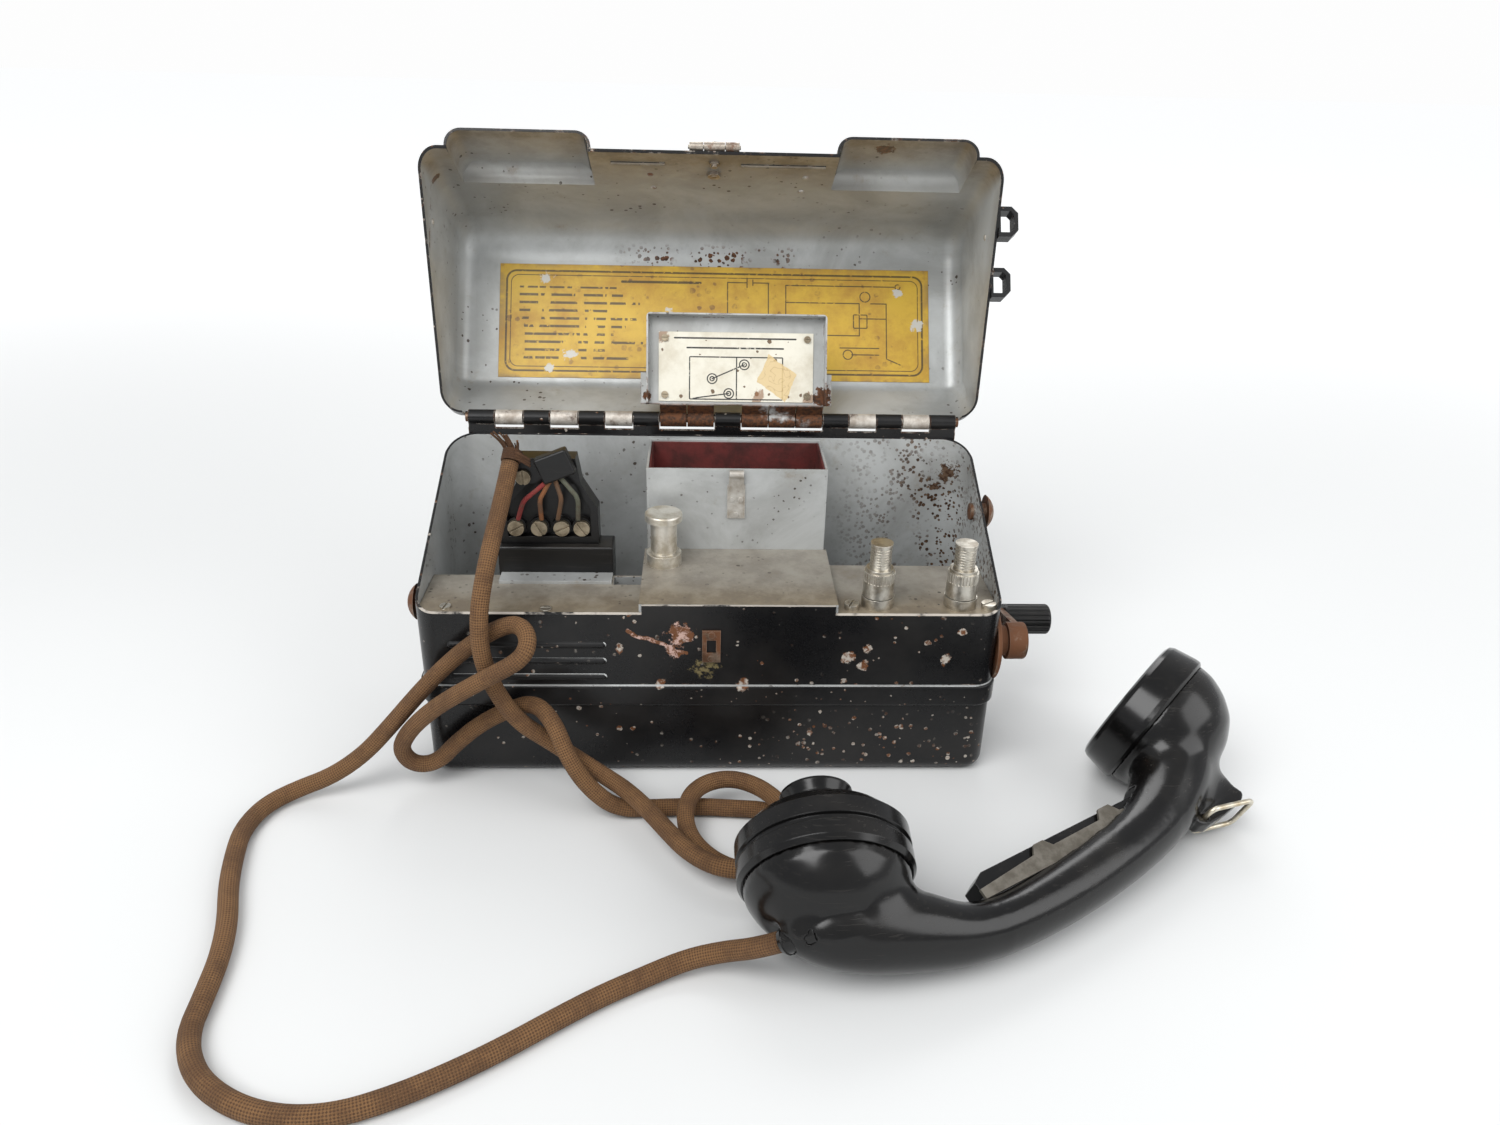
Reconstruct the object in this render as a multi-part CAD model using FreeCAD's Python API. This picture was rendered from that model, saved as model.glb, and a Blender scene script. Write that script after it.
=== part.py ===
import FreeCAD, Part
import math
import os

# Field telephone in a pressed steel case, lid open, handset lying in front of it on its cord.
# Millimetres. Origin: centre of the case's base. +X to the crank end, +Y to the hinge, +Z up.
# Moving parts are drawn with the lid open, the key up and the crank arm to the rear.

V = FreeCAD.Vector
X_AXIS = V(1, 0, 0)
Y_AXIS = V(0, 1, 0)
Z_AXIS = V(0, 0, 1)

# ---- driving dimensions: case ----
case_w = 254.0
case_d = 98.0
front_h = 83.0
rear_h = 129.5
steel = 1.2
front_corner_r = 9.0
rear_corner_r = 14.0
base_r = 7.0
rim_corner_r = 10.0
band_z = 37.5
band_h = 10.5
band_proud = 1.5
rib_count = 3
rib_pitch = 8.0
rib_top_z = 68.0
rib_r = 1.7
rib_proud = 1.0
rib_x0 = -112.0
rib_x1 = -47.0
fit_gap = 0.2

# ---- battery box and its cover ----
box_x0 = -30.0
box_x1 = 53.3
box_front_y = 8.0
box_floor_z = 22.0
box_top_z = rear_h - 1.8
box_sheet = 1.0
liner_t = 0.8
cell_h = 74.0
cover_sheet = 0.8
cover_gap = 0.4
cover_overhang = 5.5
cover_skirt = 7.0
cover_rear_y = case_d / 2 - 4.0
cover_lift = 0.6
cover_open_deg = 113.0
plate_x0 = -25.6
plate_x1 = 48.6
plate_y0 = 10.5
plate_y1 = 43.5
plate_t = 0.6

# ---- hinge and lid ----
hinge_y = case_d / 2 + 2.5
hinge_z = rear_h + 7.0
barrel_r = 3.6
pin_r = 1.5
pin_gap = 0.05
knuckle_pitch = 13.2
knuckle_gap = 0.4
knuckles = 18
hinge_x0 = -117.6
leaf_t = 1.2
case_leaf_z = rear_h - 17.5
lid_leaf_len = 17.0
lid_open_deg = 121.0
lid_top_z = rear_h + 30.5
lid_rim_front_z = front_h - 13.0
lid_rim_rear_z = rear_h + 1.5
lid_gap_end = 0.8
lid_gap_front = 2.8
lid_rear_y = hinge_y - 0.9
lid_rear_z = rear_h + 8.5
lid_crease_y = lid_rear_y - 20.6
lid_front_r = 18.0
lid_crease_r = 8.0
lid_end_r = 9.0
pocket_x0 = 54.0
pocket_x1 = 117.0
pocket_proud = 8.0
pocket_depth = 6.0
pocket_top_z = front_h + 23.0
pocket_r = 7.0
ridge_spans = ((-46.0, -22.0), (12.0, 50.0))
ridge_z = front_h - 2.0
ridge_r = 1.4
label_x0 = -108.0
label_x1 = 112.0
label_y0 = -33.0
label_y1 = 26.0
label_t = 0.3

# ---- chassis ----
shelf_t = 1.5
wall_t = 1.2
apron_h = 9.0
centre_rise = 4.3
shelf_rear_left_y = -12.0
shelf_rear_right_y = 0.0
well_notch_x = -44.0
well_notch_y = -21.0

chassis_screw_places = ((case_w / 2 - 66.0, -42.0, 3.2, 2.6, 65.0), (case_w / 2 - 5.6, -41.5, 3.2, 2.6, 30.0),
                        (56.0 - case_w / 2, -45.0, 2.4, 1.0, 5.0), (13.0 - case_w / 2, -43.0, 2.4, 1.0, 80.0))

# ---- terminals, key, plug ----
post_y = -38.4
post_x = (case_w / 2 - 54.3, case_w / 2 - 17.7)
post_r = 4.6
post_h = 30.0
post_flange_r = 7.2
post_flange_h = 5.0
nut_r = 6.8
nut_h = 13.0
key_x = -21.7
key_y = -6.8
key_stem_r = 6.0
key_head_r = 8.5
key_head_h = 3.5
key_top_z = 112.5
socket_x0 = -96.0
socket_x1 = -44.6
socket_y1 = 2.0
socket_top_z = 97.0
socket_floor_z = 62.0
plug_x0 = -95.0
plug_x1 = -51.0
plug_y0 = -8.0
plug_y1 = 1.5
plug_top_z = 138.0
plug_screw_z = 105.0
plug_screw_x = (-87.8, -77.4, -67.4, -58.4)

# ---- crank and generator ----
crank_y = -30.0
crank_z = 60.0
crank_shaft_r = 4.0
crank_arm_len = 38.0
crank_arm_deg = -14.0
crank_arm_t = 3.0
crank_arm_half = 5.5
crank_boss_r = 8.5
crank_plate_r = 17.5
crank_plate_t = 2.0
knob_r = 7.4
knob_len = 24.0
knob_pin_r = 2.2
gear_module = 1.0
gear_teeth = 32
pinion_teeth = 8
gear_w = 5.0
armature_r = 9.3
armature_gap = 0.5
magnet_count = 3
magnet_w = 10.0
magnet_t = 9.0
magnet_top_z = 71.0
magnet_bend_r = 12.0

# ---- handset ----
mouth_x = 41.2
mouth_y = -141.0
cap_r = 33.0
ear_l = 177.0
ear_f = 5.0
hand_az_deg = 31.5
hand_tilt_deg = 22.0
mouth_turn_deg = 27.0
ear_turn_deg = 16.5
mouth_cap_t = 16.0
ear_cap_t = 16.0
floor_gap = 0.3

# ---- cord ----
cord_r = 3.75

run_gap = 0.3


# ---------------------------------------------------------------- helpers
def box(x0, x1, y0, y1, z0, z1):
    return Part.makeBox(x1 - x0, y1 - y0, z1 - z0, V(x0, y0, z0))


def rod(start, direction, radius, length):
    return Part.makeCylinder(radius, length, start, direction)


def tube(start, direction, radius, bore, length):
    return rod(start, direction, radius, length).cut(rod(start, direction, bore, length))


def join(*shapes):
    first = shapes[0]
    whole = first.multiFuse(list(shapes[1:])) if len(shapes) > 1 else first
    return whole.removeSplitter()


def plate_yz(points, x0, x1):
    """Prism along X from a polygon of (y, z) points."""
    wire = Part.makePolygon([V(x0, y, z) for y, z in points + points[:1]])
    return Part.Face(wire).extrude(V(x1 - x0, 0, 0))


def plate_xz(points, y0, y1):
    """Prism along Y from a polygon of (x, z) points."""
    wire = Part.makePolygon([V(x, y0, z) for x, z in points + points[:1]])
    return Part.Face(wire).extrude(V(0, y1 - y0, 0))


def plate_xy(points, z0, z1):
    """Prism along Z from a polygon of (x, y) points."""
    wire = Part.makePolygon([V(x, y, z0) for x, y in points + points[:1]])
    return Part.Face(wire).extrude(V(0, 0, z1 - z0))


def edges_where(shape, test):
    """Edges whose both ends and middle pass the test."""
    chosen = []
    for edge in shape.Edges:
        middle = edge.valueAt((edge.FirstParameter + edge.LastParameter) / 2)
        points = [v.Point for v in edge.Vertexes] + [middle]
        if all(test(p) for p in points):
            chosen.append(edge)
    return chosen


def near(a, b, tolerance=0.02):
    return abs(a - b) < tolerance


def rounded_block(x0, x1, y0, y1, z0, z1, front_r, rear_r):
    """Upright block whose four vertical edges are rounded, front and rear apart."""
    block = box(x0, x1, y0, y1, z0, z1)
    front = edges_where(block, lambda p: near(p.y, y0) and (near(p.x, x0) or near(p.x, x1)))
    block = block.makeFillet(front_r, front)
    rear = edges_where(block, lambda p: near(p.y, y1) and (near(p.x, x0) or near(p.x, x1)))
    return block.makeFillet(rear_r, rear)


def export(shape, name):
    shape.exportStep("parts/%s.step" % name)
    span = shape.BoundBox
    print("%-24s solids %2d  valid %s  z %.2f..%.2f"
          % (name, len(shape.Solids), shape.isValid(), span.ZMin, span.ZMax))


def group(shapes):
    return Part.makeCompound(list(shapes))


def swing_open(shape, degrees):
    """Turns a piece drawn with the lid shut to its open place about the hinge pin."""
    moved = shape.copy()
    moved.rotate(V(0, hinge_y, hinge_z), X_AXIS, -degrees)
    return moved


# ---------------------------------------------------------------- derived places
half_w = case_w / 2
half_d = case_d / 2
front_y = -half_d
inner_x = half_w - steel
inner_front_y = front_y + steel
inner_rear_y = half_d - steel
shelf_x = inner_x - fit_gap
shelf_front_y = inner_front_y + fit_gap
centre_z = front_h + centre_rise
rim_slope = (rear_h - front_h) / case_d
hinge_bore_r = pin_r + pin_gap
hinge_x1 = hinge_x0 + knuckles * knuckle_pitch


def rim_z(y):
    return front_h + (y - front_y) * rim_slope


# ---------------------------------------------------------------- case
def make_case_shell():
    def tub(inset):
        block = rounded_block(-half_w + inset, half_w - inset, front_y + inset, half_d - inset,
                              inset, rear_h + 20, front_corner_r - inset, rear_corner_r - inset)
        return block.makeFillet(base_r - inset, edges_where(block, lambda p: near(p.z, inset)))

    skin = [tub(0)]
    band = rounded_block(-half_w - band_proud, half_w + band_proud, front_y - band_proud, half_d + band_proud,
                         band_z, band_z + band_h, front_corner_r + band_proud, rear_corner_r + band_proud)
    band_edges = edges_where(band, lambda p: near(p.z, band_z) or near(p.z, band_z + band_h))
    skin.append(band.makeFillet(band_proud * 0.85, band_edges))
    for i in range(rib_count):
        z = rib_top_z - i * rib_pitch
        axis_y = front_y - rib_proud + rib_r
        skin.append(rod(V(rib_x0, axis_y, z), X_AXIS, rib_r, rib_x1 - rib_x0))
        skin.append(Part.makeSphere(rib_r, V(rib_x0, axis_y, z)))
        skin.append(Part.makeSphere(rib_r, V(rib_x1, axis_y, z)))
    shell = skin[0].multiFuse(skin[1:]).cut(tub(steel))
    far = 30
    sky_z = rear_h + far * 2
    above = plate_yz([(front_y - far, rim_z(front_y)), (front_y, rim_z(front_y)), (half_d, rear_h),
                      (half_d + far, rear_h), (half_d + far, sky_z), (front_y - far, sky_z)],
                     -half_w - far, half_w + far)
    keep = box(box_x0, box_x1, front_y - 0.01, inner_front_y + 0.01, front_h - 1, centre_z)
    shell = shell.cut(above.cut(keep))
    arch = box(-half_w - band_proud, half_w + band_proud, front_y - far, half_d + far, 0, rear_h)
    arch_edges = edges_where(arch, lambda p: near(p.z, rear_h) and near(abs(p.x), half_w + band_proud))
    shell = shell.common(arch.makeFillet(rim_corner_r + band_proud, arch_edges))
    holes = [rod(V(half_w - 5, crank_y, crank_z), X_AXIS, crank_shaft_r + 3.0, 10),
             rod(V(half_w, crank_y, crank_z), X_AXIS, crank_plate_r + fit_gap, 10)]
    for side, y, z in strap_stud_places:
        holes.append(rod(V(side * (half_w - 5), y, z), V(side, 0, 0), stud_rivet_r, 10))
    return shell.cut(holes).removeSplitter()


strap_stud_places = ((-1, -21.0, 74.0), (1, 21.0, 102.0))
stud_rivet_r = 2.5
stud_head_r = 9.0
stud_neck_r = 4.0
stud_proud = 9.0
hook_drop = 22.0


def make_strap_studs():
    studs = []
    for side, y, z in strap_stud_places:
        out = V(side, 0, 0)
        base = V(side * half_w, y, z)
        neck = rod(base, out, stud_neck_r, stud_proud - 3.0)
        head = Part.makeSphere(stud_head_r * 1.15, base + out * (stud_proud - stud_head_r * 1.15))
        head = head.common(rod(base + out * (stud_proud - 4.0), out, stud_head_r, 6.0))
        shank = rod(base - out * (steel + 1.5), out, stud_rivet_r, steel + 1.5)
        tail = rod(base - out * (steel + 1.5), out, stud_rivet_r + 1.5, 1.5)
        studs.append(join(neck, head, shank, tail))
    return group(studs)


def make_strap_hook():
    """Steel loop that hangs on the neck of the left stud."""
    side, y, z = strap_stud_places[0]
    x0 = -half_w - 3.6
    x1 = -half_w - 1.4
    eye_r = stud_neck_r + 0.3
    ring = tube(V(x0, y, z), X_AXIS, eye_r + 2.6, eye_r, x1 - x0)
    link = box(x0, x1, y - 3.2, y + 3.2, z - hook_drop, z - eye_r - 0.6)
    window = box(x0 - 1, x1 + 1, y - 1.4, y + 1.4, z - hook_drop + 3.0, z - 12.0)
    toe = rod(V(x0, y, z - hook_drop), X_AXIS, 3.2, x1 - x0)
    return join(ring, link, toe).cut(window)


def make_catch_staple():
    """Slotted plate riveted to the case front, where the lid's catch drops in."""
    plate = box(-4.0, 4.0, front_y - 1.0, front_y, 60.0, 75.5)
    slot = box(-2.0, 2.0, front_y - 2.0, front_y + 1.0, 64.5, 71.0)
    heads = [rod(V(0, front_y - 1.6, z), Y_AXIS, 1.5, 1.6) for z in (62.0, 73.6)]
    return join(plate, *heads).cut(slot)


def knuckle_owner(i):
    """Which piece the i-th knuckle of the hinge belongs to."""
    first_mid = 7
    last_mid = 12
    if i < first_mid:
        return "case" if i % 2 == 0 else "lid"
    if i > last_mid:
        return "case" if i % 2 == 1 else "lid"
    return "case" if i == 9 else "cover"


def knuckle_rings(owner):
    rings = []
    for i in range(knuckles):
        if knuckle_owner(i) == owner:
            x0 = hinge_x0 + i * knuckle_pitch + knuckle_gap / 2
            rings.append((x0, knuckle_pitch - knuckle_gap))
    return rings


def ring_solid(x0, length):
    return tube(V(x0, hinge_y, hinge_z), X_AXIS, barrel_r, hinge_bore_r, length)


def make_case_hinge_leaf():
    """Leaf screwed to the outside of the case's rear wall, with its knuckles."""
    bore = rod(V(-half_w, hinge_y, hinge_z), X_AXIS, hinge_bore_r, case_w)
    leaf_top = hinge_z - barrel_r - run_gap - 0.6
    pieces = [box(hinge_x0, hinge_x1, half_d, half_d + leaf_t, case_leaf_z, leaf_top)]
    for x0, length in knuckle_rings("case"):
        pieces.append(ring_solid(x0, length))
        pieces.append(box(x0, x0 + length, half_d, half_d + leaf_t, leaf_top - 1, hinge_z))
    for x in (-100.0, -50.0, 0.0, 50.0, 100.0):
        pieces.append(rod(V(x, half_d, case_leaf_z + 6.0), Y_AXIS, 2.2, leaf_t + 0.9))
    return join(*pieces).cut(bore)


def make_hinge_pin():
    head_t = 1.2
    pin = rod(V(hinge_x0, hinge_y, hinge_z), X_AXIS, pin_r, hinge_x1 - hinge_x0)
    heads = [rod(V(x, hinge_y, hinge_z), X_AXIS, pin_r + 0.8, head_t) for x in (hinge_x0 - head_t, hinge_x1)]
    return join(pin, *heads)


# ---------------------------------------------------------------- lid, drawn shut
lid_half_w = half_w + lid_gap_end + steel
lid_front_y = front_y - lid_gap_front - steel


def lid_form(inset, below):
    """Solid pressed form of the lid. inset offsets its walls inward, below lowers its open side."""
    yf = lid_front_y + inset
    zt = lid_top_z - inset
    slant = math.hypot(lid_rear_y - lid_crease_y, lid_top_z - lid_rear_z)
    ny = -(lid_top_z - lid_rear_z) / slant * inset
    nz = -(lid_rear_y - lid_crease_y) / slant * inset
    rear_foot = (lid_rear_y + ny, lid_rear_z + nz)
    run = (lid_top_z - lid_rear_z) / (lid_rear_y - lid_crease_y)
    crease = (rear_foot[0] - (zt - rear_foot[1]) / run, zt)
    profile = [(yf, lid_rim_front_z - below), (rear_foot[0], lid_rim_rear_z - below), rear_foot, crease,
               (yf, zt)]
    form = plate_yz(profile, -lid_half_w + inset, lid_half_w - inset)
    front = edges_where(form, lambda p: near(p.z, zt) and near(p.y, yf))
    form = form.makeFillet(lid_front_r - inset, front)
    bend = edges_where(form, lambda p: near(p.z, zt) and near(p.y, crease[0]))
    form = form.makeFillet(lid_crease_r - inset, bend)

    def on_end(p):
        return near(abs(p.x), lid_half_w - inset, 0.05)

    def above_rim(edge):
        middle = edge.valueAt((edge.FirstParameter + edge.LastParameter) / 2)
        slope = (lid_rim_rear_z - lid_rim_front_z) / (rear_foot[0] - yf)
        return middle.z > lid_rim_front_z - below + (middle.y - yf) * slope + 0.3

    ends = [e for e in edges_where(form, on_end) if above_rim(e)]
    return form.makeFillet(lid_end_r - inset, ends)


def pocket_form(side, inset, below):
    """Bulge in the lid's front wall that clears a cap of the stowed handset."""
    x0 = min(side * pocket_x0, side * pocket_x1) + inset
    x1 = max(side * pocket_x0, side * pocket_x1) - inset
    y0 = lid_front_y - pocket_proud + inset
    z1 = pocket_top_z - inset
    block = box(x0, x1, y0, lid_front_y + pocket_depth, lid_rim_front_z - below, z1)
    edges = edges_where(block, lambda p: near(p.y, y0) and (near(p.x, x0) or near(p.x, x1) or near(p.z, z1)))
    return block.makeFillet(pocket_r - inset, edges)


def make_lid_shell():
    skin = [lid_form(0, 4.0)]
    hollow = [lid_form(steel, 10.0)]
    far = 40
    below_z = lid_rim_front_z - far
    rear_cut_y = lid_rear_y + 0.01
    trim = plate_yz([(front_y - far, lid_rim_front_z), (lid_front_y, lid_rim_front_z),
                     (rear_cut_y, lid_rim_rear_z), (rear_cut_y, below_z), (front_y - far, below_z)],
                    -half_w - far, half_w + far)
    for side in (-1, 1):
        skin.append(pocket_form(side, 0, 8.0))
        hollow.append(pocket_form(side, steel, 14.0))
    shell = skin[0].multiFuse(skin[1:]).cut(hollow[0].multiFuse(hollow[1:]))
    shell = shell.cut(trim)
    ridges = []
    for x0, x1 in ridge_spans:
        ridges.append(rod(V(x0, lid_front_y + steel - 0.4, ridge_z), X_AXIS, ridge_r, x1 - x0))
    shell = shell.multiFuse(ridges)
    holes = [rod(V(x, lid_front_y - 2, z), Y_AXIS, 1.5, steel + 4) for x, z in catch_rivets]
    notch_x0 = hinge_x0 - 2.0
    notch_x1 = hinge_x1 + 2.0
    holes.append(box(notch_x0, notch_x1, lid_rear_y - 5.0, lid_rear_y + 5.0, lid_rim_rear_z - 20,
                     hinge_z + 1.5))
    holes.append(rod(V(notch_x0, hinge_y, hinge_z), X_AXIS, barrel_r + run_gap, notch_x1 - notch_x0))
    holes.append(make_lid_hinge_leaf())
    return shell.cut(holes).removeSplitter()


catch_rivets = ((0.0, 79.0), (0.0, 89.0))


def make_lid_hinge_leaf():
    """Leaf on the outside of the lid's sloping rear wall, drawn shut."""
    slant = math.hypot(lid_rear_y - lid_crease_y, lid_top_z - lid_rear_z)
    ty = -(lid_rear_y - lid_crease_y) / slant
    tz = (lid_top_z - lid_rear_z) / slant
    ny = tz
    nz = -ty
    y0 = lid_rear_y
    z0 = lid_rear_z
    start = 2.0
    root = 4.0
    foot = [(y0 + ty * d, z0 + tz * d) for d in (start, lid_leaf_len)]
    outer = [(y + ny * leaf_t, z + nz * leaf_t) for y, z in foot]
    strip = plate_yz([foot[0], foot[1], outer[1], outer[0]], hinge_x0, hinge_x1)
    clear = rod(V(-half_w, hinge_y, hinge_z), X_AXIS, barrel_r + run_gap, case_w)
    pieces = [strip.cut(clear)]
    web = [(hinge_y - 2.6, hinge_z + 1.0), (hinge_y + 1.5, hinge_z + 2.0),
           (y0 + ty * root + ny * leaf_t, z0 + tz * root + nz * leaf_t), (y0 + ty * root, z0 + tz * root)]
    for x0, length in knuckle_rings("lid"):
        pieces.append(ring_solid(x0, length))
        pieces.append(plate_yz(web, x0, x0 + length))
    bore = rod(V(-half_w, hinge_y, hinge_z), X_AXIS, hinge_bore_r, case_w)
    return join(*pieces).cut(bore)


# ---------------------------------------------------------------- catch on the lid's front
catch_y = lid_front_y - 2.9
catch_z = 72.4
catch_knuckle_r = 2.2
catch_pin_r = 0.9
catch_half = 11.0
tongue_half = 4.6
tongue_len = 17.0


def make_catch_bracket():
    """Plate on the lid's front with two knuckles and the pin of the catch."""
    plate = box(-catch_half, catch_half, lid_front_y - 1.2, lid_front_y, catch_z + 2.6, 94.0)
    arms = []
    for x0 in (-catch_half, tongue_half + 0.3):
        x1 = x0 + catch_half - tongue_half - 0.3
        arms.append(rod(V(x0, catch_y, catch_z), X_AXIS, catch_knuckle_r, x1 - x0))
        web = [(catch_y, catch_z), (lid_front_y - 1.2, catch_z + 3.0), (lid_front_y, catch_z + 3.4),
               (lid_front_y - 0.6, catch_z + 0.4)]
        arms.append(plate_yz(web, x0, x1))
    pin = rod(V(-catch_half - 0.6, catch_y, catch_z), X_AXIS, catch_pin_r, catch_half * 2 + 1.2)
    holes = [rod(V(x, lid_front_y - 2, z), Y_AXIS, 1.4, 3) for x, z in catch_rivets]
    return join(plate, pin, *arms).cut(holes)


def make_catch_rivets():
    """Bolt and rivet through the bracket and the lid's wall, with the bolt's nut inside."""
    pieces = []
    for x, z in catch_rivets:
        pieces.append(join(rod(V(x, lid_front_y - 2.0, z), Y_AXIS, 1.4, steel + 4.2),
                           rod(V(x, lid_front_y - 2.0, z), Y_AXIS, 2.2, 0.8)))
    x, z = catch_rivets[1]
    nut_corner = 3.1
    turns = [math.radians(60 * i) for i in range(6)]
    corners = [(x + nut_corner * math.cos(a), z + nut_corner * math.sin(a)) for a in turns]
    nut = plate_xz(corners, lid_front_y + steel, lid_front_y + steel + 2.0)
    pieces[1] = join(pieces[1], nut)
    x, z = catch_rivets[0]
    pieces[0] = join(pieces[0], rod(V(x, lid_front_y + steel, z), Y_AXIS, 2.3, 1.0))
    return group(pieces)


def make_catch_tongue():
    """Folded back against the lid; swings down over the case's slotted plate."""
    bore_r = catch_pin_r + pin_gap
    knuckle = tube(V(-tongue_half, catch_y, catch_z), X_AXIS, catch_knuckle_r, bore_r, tongue_half * 2)
    blade = box(-tongue_half, tongue_half, catch_y - catch_knuckle_r, catch_y - catch_knuckle_r + 1.2,
                catch_z, catch_z + tongue_len)
    nib = rod(V(0, catch_y - catch_knuckle_r - 2.6, catch_z + 6.0), Y_AXIS, 1.6, 3.0)
    bore = rod(V(-tongue_half, catch_y, catch_z), X_AXIS, bore_r, tongue_half * 2)
    return join(knuckle, blade, nib).cut(bore)


# ---------------------------------------------------------------- strap loops on the lid's right end
loop_places = ((-30.0, 88.0), (-6.5, 102.0))
loop_half = 7.0
loop_reach = 9.0
loop_wire = 2.0
loop_w = 7.0


def make_lid_strap_loops():
    """Square strap loops standing out of the lid's right end wall, drawn shut."""
    wall = lid_form(0, 4.0)
    loops = []
    for y, z in loop_places:
        x1 = lid_half_w + loop_reach
        outer = [(lid_half_w - 4.0, y - loop_half), (x1 - 3.0, y - loop_half), (x1, y - loop_half + 3.0),
                 (x1, y + loop_half - 3.0), (x1 - 3.0, y + loop_half), (lid_half_w - 4.0, y + loop_half)]
        inner_half = loop_half - loop_wire
        inner = [(lid_half_w + 1.0, y - inner_half), (x1 - 3.6, y - inner_half),
                 (x1 - loop_wire, y - inner_half + 1.6), (x1 - loop_wire, y + inner_half - 1.6),
                 (x1 - 3.6, y + inner_half), (lid_half_w + 1.0, y + inner_half)]
        z0 = z - loop_w / 2
        loop = plate_xy(outer, z0, z0 + loop_w).cut(plate_xy(inner, z0 - 1, z0 + loop_w + 1))
        loops.append(loop.cut(wall))
    return group(loops)


# ---------------------------------------------------------------- battery box
def make_battery_box():
    y1 = inner_rear_y
    outer = box(box_x0, box_x1, box_front_y, y1, box_floor_z, box_top_z)
    hollow = box(box_x0 + box_sheet, box_x1 - box_sheet, box_front_y + box_sheet, y1 - box_sheet,
                 box_floor_z + box_sheet, box_top_z + 1)
    return outer.cut(hollow)


def make_battery_liner():
    y1 = inner_rear_y
    a = box_sheet
    b = box_sheet + liner_t
    outer = box(box_x0 + a, box_x1 - a, box_front_y + a, y1 - a, box_floor_z + a, box_top_z - 1.0)
    hollow = box(box_x0 + b, box_x1 - b, box_front_y + b, y1 - b, box_floor_z + b, box_top_z)
    return outer.cut(hollow)


def make_cells():
    wall = box_sheet + liner_t + 0.3
    mid = (box_x0 + box_x1) / 2
    y0 = box_front_y + wall
    y1 = inner_rear_y - wall
    z0 = box_floor_z + box_sheet + liner_t
    cells = []
    for x0, x1 in ((box_x0 + wall, mid - 0.3), (mid + 0.3, box_x1 - wall)):
        block = box(x0, x1, y0, y1, z0, z0 + cell_h)
        uprights = edges_where(block, lambda p: (near(p.x, x0) or near(p.x, x1))
                               and (near(p.y, y0) or near(p.y, y1)))
        block = block.makeFillet(3.0, uprights)
        xm = (x0 + x1) / 2
        ym = (y0 + y1) / 2
        stud = rod(V(xm, ym, z0 + cell_h), Z_AXIS, 3.0, 8.0)
        nut = rod(V(xm, ym, z0 + cell_h + 3.0), Z_AXIS, 5.0, 4.0)
        cells.append(join(block, stud, nut))
    return group(cells)


def make_cover():
    """Cover of the battery box, a flanged tray on two knuckles of the lid's hinge, drawn shut."""
    skirt_x0 = box_x0 - cover_gap - cover_sheet
    skirt_x1 = box_x1 + cover_gap + cover_sheet
    y0 = box_front_y - cover_overhang
    y1 = cover_rear_y
    z0 = box_top_z + cover_lift
    z1 = z0 + cover_sheet
    tray = box(skirt_x0, skirt_x1, y0, y1, z0 - cover_skirt, z1)
    rounded = edges_where(tray, lambda p: near(p.z, z1) and not near(p.y, y1)
                          or (near(p.y, y0) and (near(p.x, skirt_x0) or near(p.x, skirt_x1))))
    tray = tray.makeFillet(2.0, rounded)
    hollow = box(skirt_x0 + cover_sheet, skirt_x1 - cover_sheet, y0 + cover_sheet, y1 + 1,
                 z0 - cover_skirt - 1, z0)
    tray = tray.cut(hollow)
    ears = []
    for x, side in ((skirt_x0, -1), (skirt_x1, 1)):
        xs = sorted((x, x + side * 3.0))
        ears.append(box(xs[0], xs[1], 30.0, y1, z0, z1))
    arms = []
    arm = [(y1 - 1.0, z0), (y1 - 1.0, z1), (hinge_y - 3.2, hinge_z - 0.4), (hinge_y - 2.6, hinge_z - 2.4),
           (y1 + 0.4, z0)]
    for x0, length in knuckle_rings("cover"):
        arms.append(ring_solid(x0, length))
        arms.append(plate_yz(arm, x0, x0 + length))
    bore = rod(V(-half_w, hinge_y, hinge_z), X_AXIS, hinge_bore_r, case_w)
    return join(tray, *(ears + arms)).cut(bore)


def make_cover_plate():
    """Thin plate under the cover, which faces forward when the cover stands open."""
    z1 = box_top_z + cover_lift
    return box(plate_x0, plate_x1, plate_y0, plate_y1, z1 - plate_t, z1)


def make_cover_plate_screws():
    z1 = box_top_z + cover_lift - plate_t
    screws = []
    for x in (plate_x0 + 3.0, plate_x1 - 3.0):
        for y in (plate_y0 + 3.0, plate_y1 - 3.0):
            head = rod(V(x, y, z1 - 0.9), Z_AXIS, 1.7, 0.9)
            slot = box(x - 2, x + 2, y - 0.25, y + 0.25, z1 - 1.4, z1 - 0.5)
            screws.append(head.cut(slot))
    return group(screws)


def make_cover_catch():
    """Spring strip on the front of the battery box with a rolled end that holds the cover."""
    x0 = 7.2
    x1 = 15.4
    y = box_front_y
    foot_z = box_top_z - 24.2
    bend_z = box_top_z - 11.7
    strip = box(x0, x1, y - 0.8, y, foot_z, box_top_z - 7.5)
    bent = [(y - 0.8, bend_z), (y - 1.8, bend_z + 6.0), (y - 2.4, bend_z + 9.0), (y - 1.7, bend_z + 9.0),
            (y - 0.9, bend_z + 5.0), (y, bend_z)]
    tab = plate_yz(bent, x0 + 0.6, x1 - 0.6)
    roll = tube(V(x0 + 0.8, y - 2.1, bend_z + 10.0), X_AXIS, 1.8, 1.0, x1 - x0 - 1.6)
    rivets = [rod(V(x, y - 1.5, foot_z + dz), Y_AXIS, 1.1, 1.5) for x, dz in ((9.3, 9.5), (13.3, 9.5), (11.3, 2.0))]
    return join(strip, tab, roll, *rivets)


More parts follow.
